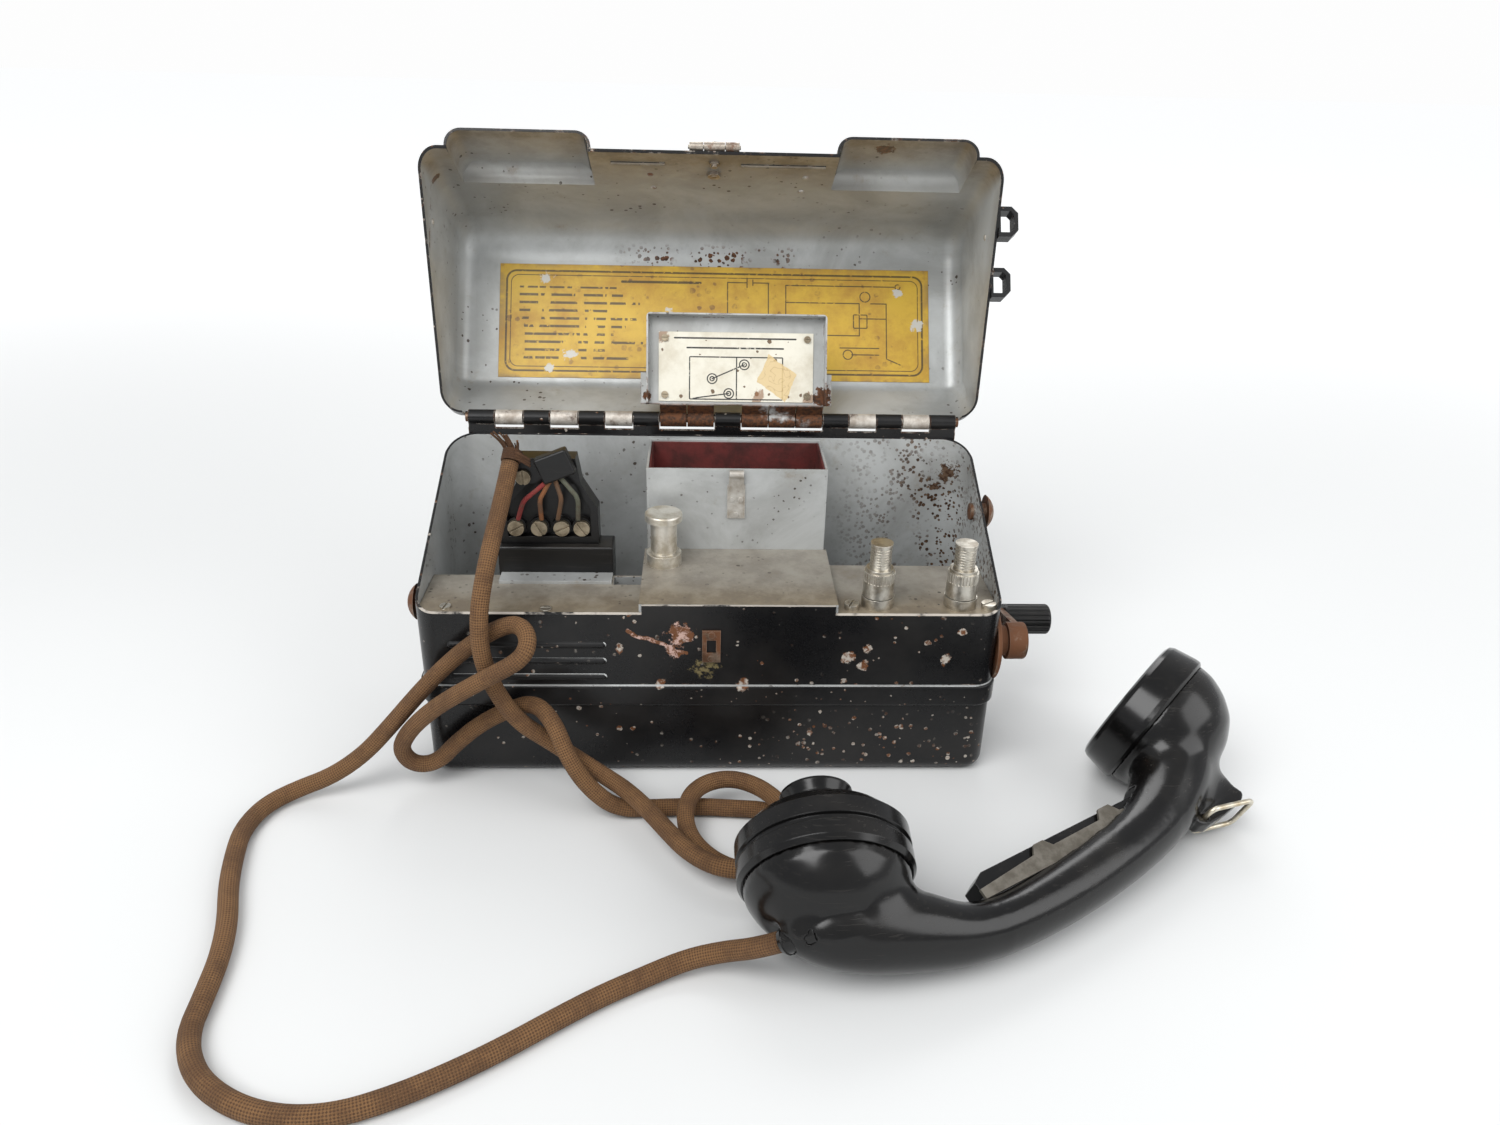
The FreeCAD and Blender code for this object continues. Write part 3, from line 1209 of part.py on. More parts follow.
def make_handset_body():
    """Moulded handle with both cups, the lug for the bail and the sunk seat of the press bar."""
    mouth_body = turned(list(mouth_cup), mouth_c, mouth_dir)
    ear_body = turned(list(ear_cup), ear_c, ear_dir)
    handle = join(Part.makeLoft([section(*s) for s in handle_sections], True, False),
                  Part.makeSphere(handle_end_r, hand(handle_end_l, handle_end_f)))
    lug = hand_plate(lug_outline, -lug_half, lug_half)
    body = join(handle, mouth_body, ear_body, lug)
    mouth_bore = turned([(1.0 - mouth_cap_t, mouth_bore_r), (-mouth_cap_t - mouth_bore_d, mouth_bore_r)],
                        mouth_c, mouth_dir)
    ear_bore = turned([(1.0 - ear_cap_t, ear_bore_r), (-ear_cap_t - ear_bore_d, ear_bore_r)], ear_c, ear_dir)
    eye = rod(hand(bail_l, bail_f, -6.0), hand_n, bail_wire_r + run_gap, 12.0)
    slot = hand_plate([(bar_l0 - 2.0, slot_f), (bar_l1 + 2.0, slot_f), (bar_l1 + 2.0, bar_f1 + 6.4),
                       (bar_l0 - 2.0, bar_f1 + 6.4)], -plate_n, plate_n)
    inlet = join(rod(grommet_c + grommet_dir * 3.0, grommet_dir * -1, grommet_bore_r, 13.0),
                 rod(grommet_c + grommet_dir * 3.0, grommet_dir, grommet_bore_r + 1.2, 14.0))
    return body.cut([mouth_bore, ear_bore, eye, slot, inlet, make_talk_plate()])


cord_end = V(24.5, -176.0, 23.2)
grommet_dir = V(-0.82, 0.22, -0.53)
grommet_dir.normalize()
grommet_c = cord_end - grommet_dir * 5.0
grommet_bore_r = 4.9


def make_grommet():
    """Rubber gland where the cord enters the handset."""
    seat = rod(grommet_c - grommet_dir * 10.0, grommet_dir, grommet_bore_r, 13.0)
    nose = Part.makeCone(grommet_bore_r + 0.4, cord_r + 0.4, 2.0, grommet_c + grommet_dir * 3.0, grommet_dir)
    return join(seat, nose)


def make_mouth_cap():
    """Screwed mouthpiece cap with its short flared horn."""
    groove_r = cap_r - 1.3
    ring = turned([(13.0, 14.0), (10.5, 21.5), (7.0, 27.0), (3.0, 31.0), (1.0, cap_r), (-5.5, cap_r),
                   (-6.2, groove_r), (-7.6, groove_r), (-8.4, cap_r), (2.0 - mouth_cap_t, cap_r),
                   (-mouth_cap_t, cap_r - 1.4)], mouth_c, mouth_dir)
    hollow = turned([(8.0, 14.0), (2.0, mouth_bore_r), (-mouth_cap_t - 1, mouth_bore_r)], mouth_c, mouth_dir)
    horn = turned([(7.9, 13.5), (13.0, 11.8), (17.0, 12.4), (20.2, 14.2), (21.2, 14.2)], mouth_c, mouth_dir)
    throat = turned([(5.0, 6.0), (12.0, 7.5), (18.0, 10.6), (22.0, 13.2)], mouth_c, mouth_dir)
    return join(ring.cut(hollow), horn).cut(throat)


def make_ear_cap():
    """Screwed receiver cap with a dished face and a ring of sound holes."""
    ring = turned([(-3.0, 14.0), (-0.4, 24.0), (0.0, 28.5), (-0.8, 30.4), (-2.6, 31.4), (-12.5, cap_r),
                   (1.2 - ear_cap_t, cap_r), (-ear_cap_t, cap_r - 1.2)], ear_c, ear_dir)
    hollow = turned([(-4.5, ear_bore_r), (-ear_cap_t - 1, ear_bore_r)], ear_c, ear_dir)
    cap = ring.cut(hollow)
    side = ear_dir.cross(hand_n)
    side.normalize()
    hole_r = 1.2
    hole_ring_r = 6.0
    holes = [rod(ear_c - ear_dir * 6.0, ear_dir, hole_r, 8.0)]
    for i in range(6):
        a = math.radians(60 * i)
        centre = ear_c + (side * math.cos(a) + hand_n * math.sin(a)) * hole_ring_r
        holes.append(rod(centre - ear_dir * 6.0, ear_dir, hole_r, 8.0))
    return cap.cut(holes)


def make_inserts():
    """Transmitter and receiver capsules inside the cups."""
    mouth = turned([(-4.0, 10.0), (-5.0, 22.0), (-20.0, 23.0), (-22.0, 16.0),
                    (-mouth_cap_t - mouth_bore_d, 16.0)], mouth_c, mouth_dir)
    ear = turned([(-5.5, 23.0), (-22.0, 23.0), (-25.0, 18.0), (-ear_cap_t - ear_bore_d, 18.0)], ear_c, ear_dir)
    return group([mouth, ear])


def make_talk_bar():
    """Press-to-talk bar let into the inner side of the handle."""
    return hand_plate([(bar_l0, bar_f0), (bar_l1, bar_f0), (bar_l1, bar_f1 - 2.0), (bar_l1 - 4.0, bar_f1),
                       (bar_l0 + 5.0, bar_f1), (bar_l0, bar_f1 - 2.5)], -bar_half, bar_half)


def make_talk_plate():
    """Metal side plate with two lugs that guide the bar."""
    foot = slot_f + 0.2
    outline = [(42.0, foot), (140.0, foot), (146.0, -42.6), (122.0, -39.6), (119.0, -35.6), (113.0, -35.6),
               (110.0, -39.6), (83.0, -40.0), (80.0, -36.6), (75.0, -36.6), (72.0, -40.2), (42.0, -42.4)]
    return hand_plate(outline, plate_n, plate_n + 1.4)


bail_wire_r = 1.1
bail_l = 161.0
bail_f = -57.2
bail_half = 9.0
bail_len = 23.0


def make_handset_ring():
    """Wire bail that hangs in the eye of the lug."""
    along = hand_l * 0.98 + hand_f * -0.20
    along.normalize()
    eye = hand(bail_l, bail_f)
    near_end = eye - hand_n * bail_half
    far_end = eye + hand_n * bail_half
    reach = along * bail_len
    return closed_wire([near_end, far_end, far_end + reach, near_end + reach], bail_wire_r, 3.2)


def closed_wire(corners, radius, bend):
    """Closed wire frame with rounded corners, swept by a round section."""
    count = len(corners)
    edges = []
    for i in range(count):
        before = corners[i - 1]
        here = corners[i]
        after = corners[(i + 1) % count]
        inward = (before - here).normalize() * bend + here
        outward = (after - here).normalize() * bend + here
        to_middle = (inward + outward) * 0.5 - here
        mid = here + to_middle * (2 - math.sqrt(2))
        edges.append(Part.Arc(inward, mid, outward).toShape())
        next_in = (here - after).normalize() * bend + after
        edges.append(Part.LineSegment(outward, next_in).toShape())
    path = Part.Wire(Part.__sortEdges__(edges))
    first = edges[0].valueAt(edges[0].FirstParameter)
    tangent = edges[0].tangentAt(edges[0].FirstParameter)
    circle = Part.Wire([Part.makeCircle(radius, first, tangent)])
    return path.makePipeShell([circle], True, True)


# ---------------------------------------------------------------- cord
def bent_path(points, share):
    """Straight runs joined by tangent arcs as large as the shorter run allows. Returns wire and radii."""
    edges = []
    radii = []
    last = points[0]
    for i in range(1, len(points) - 1):
        before, here, after = points[i - 1:i + 2]
        u = here - before
        w = after - here
        short = min(u.Length, w.Length)
        u.normalize()
        w.normalize()
        turn = u.getAngle(w)
        radius = share * short / math.tan(turn / 2)
        cut = share * short
        start = here - u * cut
        end = here + w * cut
        bisector = w - u
        bisector.normalize()
        centre = here + bisector * (radius / math.cos(turn / 2))
        mid = centre - bisector * radius
        edges.append(Part.LineSegment(last, start).toShape())
        edges.append(Part.Arc(start, mid, end).toShape())
        radii.append(radius)
        last = end
    edges.append(Part.LineSegment(last, points[-1]).toShape())
    return Part.Wire(edges), radii


bend_share = 0.45
cord_route = ((-87.5, -12.5, 137.5), (-90, -24.5, 125), (-91.5, -40, 116.5), (-93.5, -54.5, 105.5),
              (-96, -62.8, 90), (-96, -65, 72), (-91.5, -65, 55), (-82.5, -65.6, 39.5),
              (-70, -65, 29.5), (-57.5, -66, 20), (-46, -70, 14.2), (-36, -78.5, 13), (-27, -90.5, 13),
              (-18.5, -104, 13), (-9.5, -117.5, 13), (3, -127.5, 13), (18.5, -128.5, 13),
              (30, -118.5, 13), (33.5, -103.5, 13), (30.5, -88.5, 13), (21.5, -76, 13),
              (8.5, -69.5, 13), (-4.5, -74.5, 13), (-11, -87, 12.5), (-10, -101, 7.5), (1, -113.5, 4),
              (14.5, -120, 4), (29, -116.5, 4), (38, -104.5, 4), (36.5, -90, 4), (25.5, -80.8, 4),
              (9.5, -79.5, 4), (-7, -78, 4), (-24, -79, 4), (-40.5, -80.5, 4.6), (-53, -78.2, 15),
              (-61, -75.6, 28.5), (-67, -68, 41), (-76, -58.8, 45.2), (-88, -56, 39.5),
              (-101, -55, 31.5), (-112, -55.6, 22), (-121.5, -57, 11.8), (-131.5, -58.5, 12),
              (-136, -60.5, 21.5), (-131, -62.5, 32), (-120, -65.5, 44.5), (-107, -70.2, 56),
              (-92.5, -73.4, 66.5), (-78.5, -71.9, 73.9), (-75.4, -66.8, 79), (-77.9, -60.4, 82.8),
              (-84.6, -56.3, 82.8), (-98, -55.2, 75), (-112.5, -55.2, 62.5), (-126, -56.3, 48),
              (-138.5, -58.5, 33.5), (-151, -61.5, 20), (-165.5, -64.5, 10.3), (-180.5, -66.5, 5),
              (-191.5, -76.5, 4), (-195, -92.5, 4), (-192, -109.5, 4), (-187.5, -127, 4),
              (-181, -144.5, 4), (-177, -162, 4), (-175.5, -180, 4), (-174.5, -197, 4),
              (-166, -212, 4), (-151.5, -222.5, 4), (-134.5, -228, 4), (-117, -227.5, 4),
              (-100, -221, 4), (-84, -212.5, 4), (-69, -203, 4), (-54.5, -192.5, 4), (-40, -182.5, 4),
              (-25, -174, 4), (-9.5, -167.5, 6), (4.5, -168, 10.5))


def cord_points():
    return [V(*p) for p in cord_route] + [cord_end + grommet_dir * 11.0, cord_end]


def make_cord():
    """The woven cord as a plain round tube from the plug to the handset's gland."""
    points = cord_points()
    path, radii = bent_path(points, bend_share)
    first = (points[1] - points[0]).normalize()
    circle = Part.Wire([Part.makeCircle(cord_r, points[0], first)])
    solid = path.makePipeShell([circle], True, True)
    print("cord length %.1f  least radius %.1f" % (path.Length, min(radii)))
    print("cord volume %.1f  section x length %.1f" % (solid.Volume, math.pi * cord_r ** 2 * path.Length))
    return solid


def make_cord_lashing():
    """Whipping on the cord's end and its tie to the plug's clamp."""
    top = V(*cord_route[0])
    up = top - V(*cord_route[1])
    up.normalize()
    wrap = rod(top, up, cord_r + 0.6, 6.0)
    end = top + up * 6.0
    tuft = Part.makeCone(2.4, 4.4, 6.0, end, V(-0.55, 0.2, 0.8))
    tie_start = top + up * 3.0
    tie_end = V(-79.4, plug_y0 - 4.2, 137.2)
    tie = rod(tie_start, tie_end - tie_start, 1.6, (tie_end - tie_start).Length)
    return join(wrap, tuft, tie)


def make_cord_wires():
    """Insulated wires from the cord's end to the plug's screws."""
    wires = []
    for i, x in enumerate(plug_screw_x):
        outward = 1.6 if i < 2 else -1.6
        top = V(-72.4 + i * 2.7, plug_y0 - 3.2, 126.4 + i * 1.1)
        run = V(x + outward, plug_y0 - 1.3, plug_screw_z + 5.2) - top
        wires.append(rod(top, run, 1.1, run.Length))
    return group(wires)


def main():
    os.makedirs("parts", exist_ok=True)
    export(make_case_shell(), "case_shell")
    export(make_case_hinge_leaf(), "case_hinge_leaf")
    export(make_hinge_pin(), "hinge_pin")
    export(make_strap_studs(), "strap_studs")
    export(make_strap_hook(), "strap_hook")
    export(make_catch_staple(), "catch_staple")
    export(swing_open(make_lid_shell(), lid_open_deg), "lid_shell")
    export(swing_open(make_lid_hinge_leaf(), lid_open_deg), "lid_hinge_leaf")
    export(swing_open(make_catch_bracket(), lid_open_deg), "catch_bracket")
    export(swing_open(make_catch_rivets(), lid_open_deg), "catch_rivets")
    export(swing_open(make_catch_tongue(), lid_open_deg), "catch_tongue")
    export(swing_open(make_lid_strap_loops(), lid_open_deg), "lid_strap_loops")
    label_z = lid_top_z - steel
    label = box(label_x0, label_x1, label_y0, label_y1, label_z - label_t, label_z)
    export(swing_open(label, lid_open_deg), "label_plate")
    export(make_battery_box(), "battery_box")
    export(make_battery_liner(), "battery_liner")
    export(make_cells(), "battery_cells")
    export(swing_open(make_cover(), cover_open_deg), "battery_cover")
    export(swing_open(make_cover_plate(), cover_open_deg), "cover_plate")
    export(swing_open(make_cover_plate_screws(), cover_open_deg), "cover_plate_screws")
    export(make_cover_catch(), "cover_catch")
    export(make_chassis(), "chassis")
    export(make_chassis_screws(), "chassis_screws")
    export(make_terminal_posts(), "terminal_posts")
    export(make_terminal_nut(post_x[0]), "terminal_nut_left")
    export(make_terminal_nut(post_x[1]), "terminal_nut_right")
    export(make_key_bush(), "key_bush")
    export(make_key_plunger(), "key_plunger")
    export(make_key_contacts(), "key_contacts")
    export(make_socket(), "plug_socket")
    export(make_socket_strip(), "socket_strip")
    export(make_plug_body(), "plug_body")
    export(make_plug_clamp(), "plug_clamp")
    export(make_plug_screws(), "plug_screws")
    export(make_plug_pins(), "plug_pins")
    export(make_crank_plate(), "crank_plate")
    export(make_crank_arm(), "crank_arm")
    export(make_crank_knob(), "crank_knob")
    export(make_crank_shaft(), "crank_shaft")
    export(make_drive_gear(), "drive_gear")
    export(make_armature(), "armature")
    export(make_armature_winding(), "armature_winding")
    export(make_generator_frame(), "generator_frame")
    export(make_magnets(), "magnets")
    export(make_bell_frame(), "bell_frame")
    export(make_gongs(), "bell_gongs")
    export(make_bell_coil_pair(), "bell_coils")
    export(make_bell_hammer(), "bell_hammer")
    export(make_induction_coil(), "induction_coil")
    export(make_capacitor(), "capacitor")
    export(make_handset_body(), "handset_body")
    export(make_mouth_cap(), "mouthpiece_cap")
    export(make_ear_cap(), "receiver_cap")
    export(make_inserts(), "handset_inserts")
    export(make_talk_bar(), "talk_bar")
    export(make_talk_plate(), "talk_plate")
    export(make_handset_ring(), "handset_ring")
    export(make_grommet(), "cord_grommet")
    export(make_cord(), "cord")
    export(make_cord_lashing(), "cord_lashing")
    export(make_cord_wires(), "cord_wires")


main()
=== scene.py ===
# %% [markdown]
# # A field telephone, dressed
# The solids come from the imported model: a pressed steel case with its lid open, and a handset on
# its cord. This lesson adds a camera, light, finishes and the small things that a solid can't carry.

# %% Load the frame
import math
import bmesh
import bpy
import numpy as np
from mathutils import Matrix, Vector


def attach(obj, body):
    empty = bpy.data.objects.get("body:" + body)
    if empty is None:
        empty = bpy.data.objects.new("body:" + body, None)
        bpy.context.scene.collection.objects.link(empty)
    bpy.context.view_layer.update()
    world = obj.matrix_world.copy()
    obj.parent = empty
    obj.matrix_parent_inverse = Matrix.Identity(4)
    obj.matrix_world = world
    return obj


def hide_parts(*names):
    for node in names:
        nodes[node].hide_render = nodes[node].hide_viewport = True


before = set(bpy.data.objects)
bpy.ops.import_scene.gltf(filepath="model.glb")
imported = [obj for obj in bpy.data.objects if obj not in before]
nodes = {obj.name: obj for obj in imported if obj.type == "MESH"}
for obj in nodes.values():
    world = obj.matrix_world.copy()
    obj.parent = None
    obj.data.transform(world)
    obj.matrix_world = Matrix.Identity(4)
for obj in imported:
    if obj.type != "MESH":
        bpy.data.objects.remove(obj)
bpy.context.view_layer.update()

MM = 0.001
HINGE_Y = 51.5
HINGE_Z = 136.5
LID_OPEN = 121.0
COVER_OPEN = 113.0

# %% [markdown]
# ## Camera
# The telephone is seen from the front and a little above, through a short lens. The camera's place
# and turn are worked out from three angles, so that each can be read and changed by itself.

# %% Camera
FOCAL_SHARE = 1100.0 / 1500.0
CAMERA_PLACE = Vector((-4.485, -461.962, 311.005)) * MM
CAMERA_YAW = 0.049
CAMERA_PITCH = 0.456
CAMERA_ROLL = 0.028

camera_data = bpy.data.cameras.new("camera")
camera_data.sensor_width = 36.0
camera_data.lens = 36.0 * FOCAL_SHARE
camera_data.clip_start = 0.01
camera = bpy.data.objects.new("camera", camera_data)
bpy.context.collection.objects.link(camera)
turn = (Matrix.Rotation(-CAMERA_YAW, 3, "Z") @ Matrix.Rotation(math.pi / 2 - CAMERA_PITCH, 3, "X")
        @ Matrix.Rotation(CAMERA_ROLL, 3, "Z"))
camera.matrix_world = Matrix.Translation(CAMERA_PLACE) @ turn.to_4x4()
bpy.context.scene.camera = camera
print("camera at", [round(v, 3) for v in CAMERA_PLACE])

# %% [markdown]
# ## Floor and light
# The object stands on a plain pale floor that fades into the background. Three wide soft lamps and
# a grey sky light it from above, so that paint and bakelite show broad, quiet highlights.

# %% Floor and light
scene = bpy.context.scene
scene.view_settings.view_transform = "Standard"
FLOOR_HALF = 6.0


def piece_of(name, shape):
    """Ends a bmesh as a new object at the origin."""
    mesh = bpy.data.meshes.new(name)
    shape.to_mesh(mesh)
    shape.free()
    piece = bpy.data.objects.new(name, mesh)
    bpy.context.collection.objects.link(piece)
    return piece


def lamp(name, place, aim, size, power):
    """Adds one square soft lamp that looks at a point."""
    data = bpy.data.lights.new(name, "AREA")
    data.size = size
    data.energy = power
    obj = bpy.data.objects.new(name, data)
    obj.matrix_world = (Matrix.Translation(place)
                        @ (Vector(aim) - Vector(place)).to_track_quat("-Z", "Y").to_matrix().to_4x4())
    bpy.context.collection.objects.link(obj)


lamp("lamp_key", (-0.55, -0.75, 1.15), (0.0, 0.0, 0.1), 0.9, 16.0)
lamp("lamp_fill", (0.95, -0.55, 0.7), (0.0, 0.0, 0.1), 0.9, 7.0)
lamp("lamp_back", (0.1, 0.9, 1.0), (0.0, 0.0, 0.15), 0.8, 8.0)

floor_shape = bmesh.new()
bmesh.ops.create_grid(floor_shape, x_segments=1, y_segments=1, size=FLOOR_HALF)
floor = piece_of("floor", floor_shape)

# %% [markdown]
# ## Writing finishes as sums
# A finish is a small network of nodes. To keep each one readable, a class wraps a socket so that
# masks can be added and multiplied like numbers, and one method makes every other node.

# %% Finish helpers
class Wire:
    """A node's output that can be used in sums."""

    def __init__(self, finish, socket):
        self.finish = finish
        self.socket = socket

    def sum(self, operation, a, b):
        """A maths node of two values."""
        return self.finish.node("ShaderNodeMath", {"operation": operation}, {0: a, 1: b})[0]

    def __add__(self, other):
        return self.sum("ADD", self, other)

    def __radd__(self, other):
        return self.sum("ADD", other, self)

    def __sub__(self, other):
        return self.sum("SUBTRACT", self, other)

    def __rsub__(self, other):
        return self.sum("SUBTRACT", other, self)

    def __mul__(self, other):
        return self.sum("MULTIPLY", self, other)

    def __rmul__(self, other):
        return self.sum("MULTIPLY", other, self)

    def __truediv__(self, other):
        return self.sum("DIVIDE", self, other)

    def __gt__(self, other):
        return self.sum("GREATER_THAN", self, other)

    def __lt__(self, other):
        return self.sum("LESS_THAN", self, other)

    def __abs__(self):
        return self.sum("ABSOLUTE", self, 0.0)

    def larger(self, other):
        return self.sum("MAXIMUM", self, other)

    def smaller(self, other):
        return self.sum("MINIMUM", self, other)

    def root(self):
        return self.sum("POWER", self, 0.5)

    def of(self, operation, b=0.0, c=0.0):
        """Any other maths node by its name, such as SINE or FLOOR."""
        return self.finish.node("ShaderNodeMath", {"operation": operation}, {0: self, 1: b, 2: c})[0]


class Finish:
    """A material that is built up by its methods."""

    def __init__(self, name):
        self.material = bpy.data.materials.new(name)
        self.material.use_nodes = True
        self.tree = self.material.node_tree
        self.shader = self.tree.nodes["Principled BSDF"]
        self.place = self.node("ShaderNodeTexCoord", {}, {})["Object"]

    def node(self, kind, settings, inputs):
        """Adds a node, sets it up, feeds its sockets and gives its outputs."""
        made = self.tree.nodes.new(kind)
        for key, value in settings.items():
            setattr(made, key, value)
        for key, value in inputs.items():
            self.feed(made.inputs[key], value)
        wires = {}
        for i, out in enumerate(made.outputs):
            wires[i] = Wire(self, out)
            wires[out.name] = wires[i]
        return wires

    def feed(self, socket, value):
        """Links a wire to a socket, or sets the socket's own value."""
        if isinstance(value, Wire):
            self.tree.links.new(value.socket, socket)
        elif isinstance(value, (tuple, list)) and len(value) == 3 and socket.type == "RGBA":
            socket.default_value = (*value, 1.0)
        else:
            socket.default_value = value

    def noise(self, scale, detail=4.0, roughness=0.6, stretch=(1, 1, 1), distortion=0.0):
        """Cloudy noise about 0.5. scale is in cells to the metre."""
        where = self.place
        if stretch != (1, 1, 1):
            where = self.node("ShaderNodeMapping", {}, {"Vector": self.place, "Scale": stretch})[0]
        return self.node("ShaderNodeTexNoise", {}, {"Vector": where, "Scale": scale, "Detail": detail,
                                                    "Roughness": roughness, "Distortion": distortion})[0]

    def step(self, value, low, high):
        """0 below low, 1 above high, smooth between."""
        return self.node("ShaderNodeMapRange", {"interpolation_type": "SMOOTHSTEP"},
                         {"Value": value, "From Min": low, "From Max": high})[0]

    def mix(self, mask, a, b):
        """Colour a where the mask is 0, colour b where it is 1."""
        return self.node("ShaderNodeMix", {"data_type": "RGBA"}, {0: mask, 6: a, 7: b})[2]

    def clip(self, value):
        """Holds a value between 0 and 1."""
        return self.node("ShaderNodeClamp", {}, {"Value": value})[0]

    def millimetres(self):
        """The place's three parts in millimetres."""
        parts = self.node("ShaderNodeSeparateXYZ", {}, {"Vector": self.place})
        return [parts[name] / MM for name in "XYZ"]

    def shut(self, degrees):
        """The place that a point of the lid or cover would have if it were swung shut by so much."""
        x, y, z = self.millimetres()
        out, up = y - HINGE_Y, z - HINGE_Z
        c, s = math.cos(math.radians(degrees)), math.sin(math.radians(degrees))
        return x, out * c - up * s + HINGE_Y, out * s + up * c + HINGE_Z

    def facing(self, name):
        """One part of the surface's direction: X, Y or Z."""
        normal = self.node("ShaderNodeTexCoord", {}, {})["Normal"]
        return self.node("ShaderNodeSeparateXYZ", {}, {"Vector": normal})[name]

    def dots(self, scale, size, share):
        """Scattered specks: size is their width in cells, share how many cells have one."""
        cells = self.node("ShaderNodeTexVoronoi", {}, {"Vector": self.place, "Scale": scale})
        picked = self.node("ShaderNodeSeparateColor", {}, {"Color": cells["Color"]})
        far = cells["Distance"] + (self.noise(scale * 2.2, 3.0, 0.6) - 0.5) * 0.42
        wide = picked[1] * size + size * 0.4
        return self.step(wide - far, 0.0, size * 0.2) * (picked[0] < share)

    def blot(self, x, y, centre, radius, ragged=0.9):
        """A ragged patch in a plane, about a centre in millimetres."""
        dx, dy = x - centre[0], y - centre[1]
        far = (dx * dx + dy * dy).root()
        rough = (self.noise(240.0, 6.0, 0.75) - 0.5) * (3.4 * ragged * radius)
        return 1.0 - self.step(far + rough, radius * 0.8, radius)

    def stroke(self, x, y, start, end, width):
        """A printed line between two points of a plane."""
        run = (end[0] - start[0], end[1] - start[1])
        long = run[0] ** 2 + run[1] ** 2
        dx, dy = x - start[0], y - start[1]
        share = self.clip((dx * run[0] + dy * run[1]) * (1.0 / long))
        ex, ey = dx - share * run[0], dy - share * run[1]
        return (ex * ex + ey * ey) < (width / 2) ** 2

    def ring(self, x, y, centre, radius, width):
        """A printed circle."""
        dx, dy = x - centre[0], y - centre[1]
        return abs((dx * dx + dy * dy).root() - radius) < width / 2

    def border(self, x, y, low, high, corner, width):
        """The outline of a rectangle with round corners."""
        half = ((high[0] - low[0]) / 2 - corner, (high[1] - low[1]) / 2 - corner)
        dx = abs(x - (low[0] + high[0]) / 2) - half[0]
        dy = abs(y - (low[1] + high[1]) / 2) - half[1]
        ox, oy = dx.larger(0.0), dy.larger(0.0)
        outside = (ox * ox + oy * oy).root()
        return abs(outside + dx.larger(dy).smaller(0.0) - corner) < width / 2

    def any_of(self, masks):
        """1 where any of the masks is."""
        whole = masks[0]
        for mask in masks[1:]:
            whole = whole.larger(mask)
        return whole

    def blots(self, x, y, places, ragged=0.9):
        """Several ragged patches, each given by its centre and its radius."""
        return self.any_of([self.blot(x, y, centre, radius, ragged) for centre, radius in places])

    def strokes(self, x, y, runs, width=0.6):
        """Several printed lines of one width, each given by its two ends."""
        return self.any_of([self.stroke(x, y, start, end, width) for start, end in runs])

    def rings(self, x, y, places, width=0.6):
        """Several printed circles, each given by its centre and its radius."""
        return self.any_of([self.ring(x, y, centre, radius, width) for centre, radius in places])

    def borders(self, x, y, boxes):
        """Several round-cornered outlines: low corner, high corner, corner radius, line width."""
        return self.any_of([self.border(x, y, *box) for box in boxes])

    def edge(self, radius, low=0.01, high=0.12):
        """1 along outward and inward edges, found where a rounded normal leaves the true one."""
        rounded = self.node("ShaderNodeBevel", {"samples": 4}, {"Radius": radius * MM})[0]
        true = self.node("ShaderNodeNewGeometry", {}, {})["Normal"]
        return self.step(1.0 - self.dot(rounded, true), low, high)

    def dot(self, a, b):
        """How far two directions agree."""
        return self.node("ShaderNodeVectorMath", {"operation": "DOT_PRODUCT"}, {0: a, 1: b})["Value"]

    def inside(self, centre):
        """1 on the walls of a dish that face its middle, given in millimetres."""
        out = self.node("ShaderNodeVectorMath", {"operation": "SUBTRACT"},
                        {0: self.place, 1: tuple(c * MM for c in centre)})["Vector"]
        normal = self.node("ShaderNodeTexCoord", {}, {})["Normal"]
        return self.dot(out, normal) < 0.0

    def bump(self, height, strength, distance=0.001, rounding=0.35):
        """Roughens the surface and softens its sharp edges."""
        rounded = self.node("ShaderNodeBevel", {"samples": 4}, {"Radius": rounding * MM})[0]
        made = self.node("ShaderNodeBump", {}, {"Height": height, "Strength": strength, "Distance": distance,
                                                "Normal": rounded})
        self.feed(self.shader.inputs["Normal"], made[0])

    def set(self, **values):
        """Feeds the shader's inputs by their names and gives the material."""
        for key, value in values.items():
            self.feed(self.shader.inputs[key.replace("_", " ").title().replace("Ior", "IOR")], value)
        return self.material


def dress(material, *names):
    """Puts a finish in an object's own slots, so that a CAD node's mesh is left alone."""
    for name in names:
        piece = nodes[name] if isinstance(name, str) else name
        if not piece.material_slots:
            piece.data.materials.append(material)
        for slot in piece.material_slots:
            slot.link = "OBJECT"
            slot.material = material


# %% [markdown]
# ## Black stove paint
# The outside of the case is glossy black paint over steel. Handling has chipped its edges and its
# raised band to bright or rusty metal, and small specks have come off the lower front. The bevel
# node finds the edges, cells make the specks, and a few larger losses are placed one by one, because
# a viewer remembers those.

# %% Black paint
BLACK = (0.0045, 0.0045, 0.005)
DULL_BLACK = (0.012, 0.011, 0.0105)
RUST = (0.135, 0.052, 0.020)
DARK_RUST = (0.050, 0.024, 0.013)
BARE = (0.44, 0.40, 0.35)
FLESH = (0.50, 0.34, 0.29)
PAINT_SHINE = 0.36


